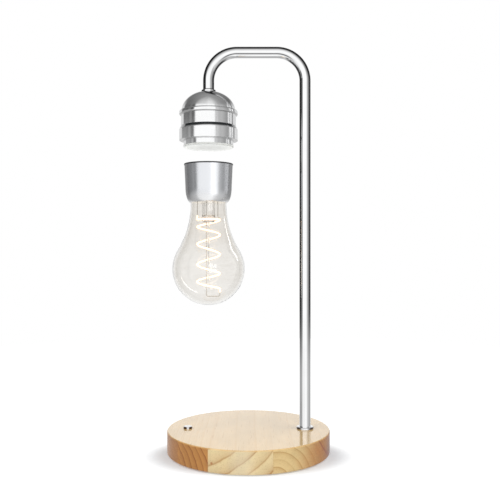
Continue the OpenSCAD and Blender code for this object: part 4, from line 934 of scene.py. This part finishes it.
# the studio that metal and glass reflect: azimuth 0 is towards the camera, growing to the right, in degrees
studio = dict(
    walls=[(-180, 0.93), (-166, 0.93), (-158, 0.67), (-128, 0.73), (-122, 0.24), (-98, 0.26), (-86, 0.2),
           (-79, 0.33), (-73, 0.33), (-67, 0.15), (-58, 0.17), (-52, 1.03), (28, 1.03), (33, 0.47),
           (38, 0.65), (46, 0.47), (60, 0.48), (88, 0.28), (96, 0.98), (113, 0.98), (116, 0.23),
           (124, 0.23), (127, 0.73), (158, 0.67), (166, 0.93), (180, 0.93)],
    ceiling=[(-180, 0.19), (-105, 0.14), (-65, 0.2), (-45, 0.48), (-30, 0.6), (-10, 0.65), (5, 0.81),
             (20, 0.74), (45, 0.37), (70, 0.26), (112, 0.22), (126, 0.14), (180, 0.19)],
    ground=[(-180, 0.82), (-146, 0.82), (-126, 0.47), (-66, 0.47), (-55, 0.9), (0, 0.95), (8, 1.03),
            (22, 1.03), (32, 0.9), (45, 0.64), (70, 0.56), (126, 0.5), (146, 0.82), (180, 0.82)],
    ceilingFrom=14.0, ceilingFull=36.0, overhead=0.32, overheadFrom=40.0, overheadFull=90.0,
    groundFrom=-0.08, groundFull=-0.18, light=0.25, through=0.75,
    leftWall=(-128, -118, -58, -52), brighter=(3.0, 8.0), brightest=1.7, darker=(8.4, 10.6), darkest=0.3)
world = bpy.data.worlds.new("studio")
scene.world = world
tree = freshTree(world)
parts = axes(addNode(tree, "TexCoord").outputs["Generated"])
turn = sums("ARCTAN2", parts[0], times(parts[1], -1.0))
turn = sums("MULTIPLY_ADD", turn, 1 / (2 * np.pi), 0.5)
walls, ceiling, ground = [
    ramp(turn, [(at / 360 + 0.5, shade) for at, shade in studio[name]])
    for name in ("walls", "ceiling", "ground")]
tilt = times(sums("ARCSINE", parts[2]), 180 / np.pi)  # degrees above the horizon
overhead = spread(tilt, studio["overheadFrom"], studio["overheadFull"], smooth=False)
ceiling = blendColour(overhead, ceiling, [studio["overhead"]] * 3)
# the left wall grows brighter upwards and then ends in the dark
a, b, c, d = [at / 360 + 0.5 for at in studio["leftWall"]]
leftWall = times(spread(turn, a, b), falls(turn, c, d))
fall = times(spread(tilt, *studio["brighter"], 1.0, studio["brightest"]),
             spread(tilt, *studio["darker"], 1.0, studio["darkest"]))
walls = scaled(walls, blendValue(leftWall, 1.0, fall))
high = spread(tilt, studio["ceilingFrom"], studio["ceilingFull"])
low = falls(parts[2], studio["groundFull"], studio["groundFrom"])
room = blendColour(low, blendColour(high, walls, ceiling), ground)
path = addNode(tree, "LightPath").outputs
through = times(path["Is Transmission Ray"], studio["through"])
lit = addNode(tree, "Background", {"Color": (1, 1, 1), "Strength": studio["light"]})
shown = addNode(tree, "Background", {"Color": blendColour(through, room, (1, 1, 1)), "Strength": 1.0})
white = addNode(tree, "Background", {"Color": (1, 1, 1), "Strength": 1.0})
bright = sums("MAXIMUM", path["Is Glossy Ray"], path["Is Transmission Ray"])
first = addNode(tree, "MixShader", {0: bright, 1: lit.outputs[0], 2: shown.outputs[0]})
second = addNode(tree, "MixShader", {0: path["Is Camera Ray"], 1: first.outputs[0], 2: white.outputs[0]})
addNode(tree, "OutputWorld", {"Surface": second.outputs[0]})

lamps = [
    dict(name="leftSoftbox", at=(-0.85, -0.25, 0.95), towards=(0, 0, 0.1), size=(1.2, 1.2), power=8.0),
    dict(name="rightSoftbox", at=(0.85, -0.25, 0.95), towards=(0, 0, 0.1), size=(1.2, 1.2), power=9.0),
    dict(name="frontSoftbox", at=(0.1, -1.5, 0.5), towards=(0, 0, 0.15), size=(1.2, 1.2), power=8.0),
    dict(name="glassStrip", at=(0.656, 0.37, 0.796), towards=(headX * mm, 0, 0.18), size=(0.09, 0.9),
         power=1.3, only=["glassEnvelope", "glassStem"]),
    dict(name="capPanel", at=(0.52, -0.82, 0.29), towards=(headX * mm, 0, 0.27), size=(0.6, 0.8), power=0.9,
         only=["bulbCap"]),
]
window = dict(middle=(0.24, -0.95, 0.24), pitch=0.26, pane=0.2, power=0.55, aside=0.28)  # four panes
for column in (-0.5, 0.5):
    for row in (-0.5, 0.5):
        x, y, z = np.array(window["middle"]) + np.array([column, 0, row]) * window["pitch"]
        lamps.append(dict(name="windowPane", at=(x, y, z), towards=(x - window["aside"], 0.0, z),
                          size=(window["pane"],) * 2, power=window["power"], only=["glassEnvelope"]))
for lamp in lamps:
    data = bpy.data.lights.new(lamp["name"], "AREA")
    data.shape, data.energy = "RECTANGLE", lamp["power"]
    data.size, data.size_y = lamp["size"]
    holder = bpy.data.objects.new(lamp["name"], data)
    holder.location = lamp["at"]
    aim = np.array(lamp["towards"]) - np.array(lamp["at"])
    upright = np.arccos(-aim[2] / np.linalg.norm(aim))
    holder.rotation_euler = (upright, 0.0, np.arctan2(aim[1], aim[0]) - np.pi / 2)
    # seen through the glass from behind, the other lamps would burn out its edges
    holder.visible_transmission = lamp["name"] == "glassStrip"
    if "only" in lamp:
        receivers = bpy.data.collections.new(lamp["name"])
        holder.light_linking.receiver_collection = receivers
        for name in lamp["only"]:
            receivers.objects.link(bpy.data.objects[name])
    else:
        holder.visible_glossy = False
    scene.collection.objects.link(holder)

# level camera, fitted to the photograph
view = dict(at=(0.0015, -0.700, 0.1989), lens=50.88, sensor=36.0, near=0.01)
cameraData = bpy.data.cameras.new("photoCamera")
cameraData.lens, cameraData.sensor_width, cameraData.clip_start = view["lens"], view["sensor"], view["near"]
camera = bpy.data.objects.new("photoCamera", cameraData)
camera.location, camera.rotation_euler = view["at"], (np.pi / 2, 0.0, 0.0)
scene.collection.objects.link(camera)
scene.camera = camera
scene.view_settings.view_transform = "Standard"
print("stage ready")
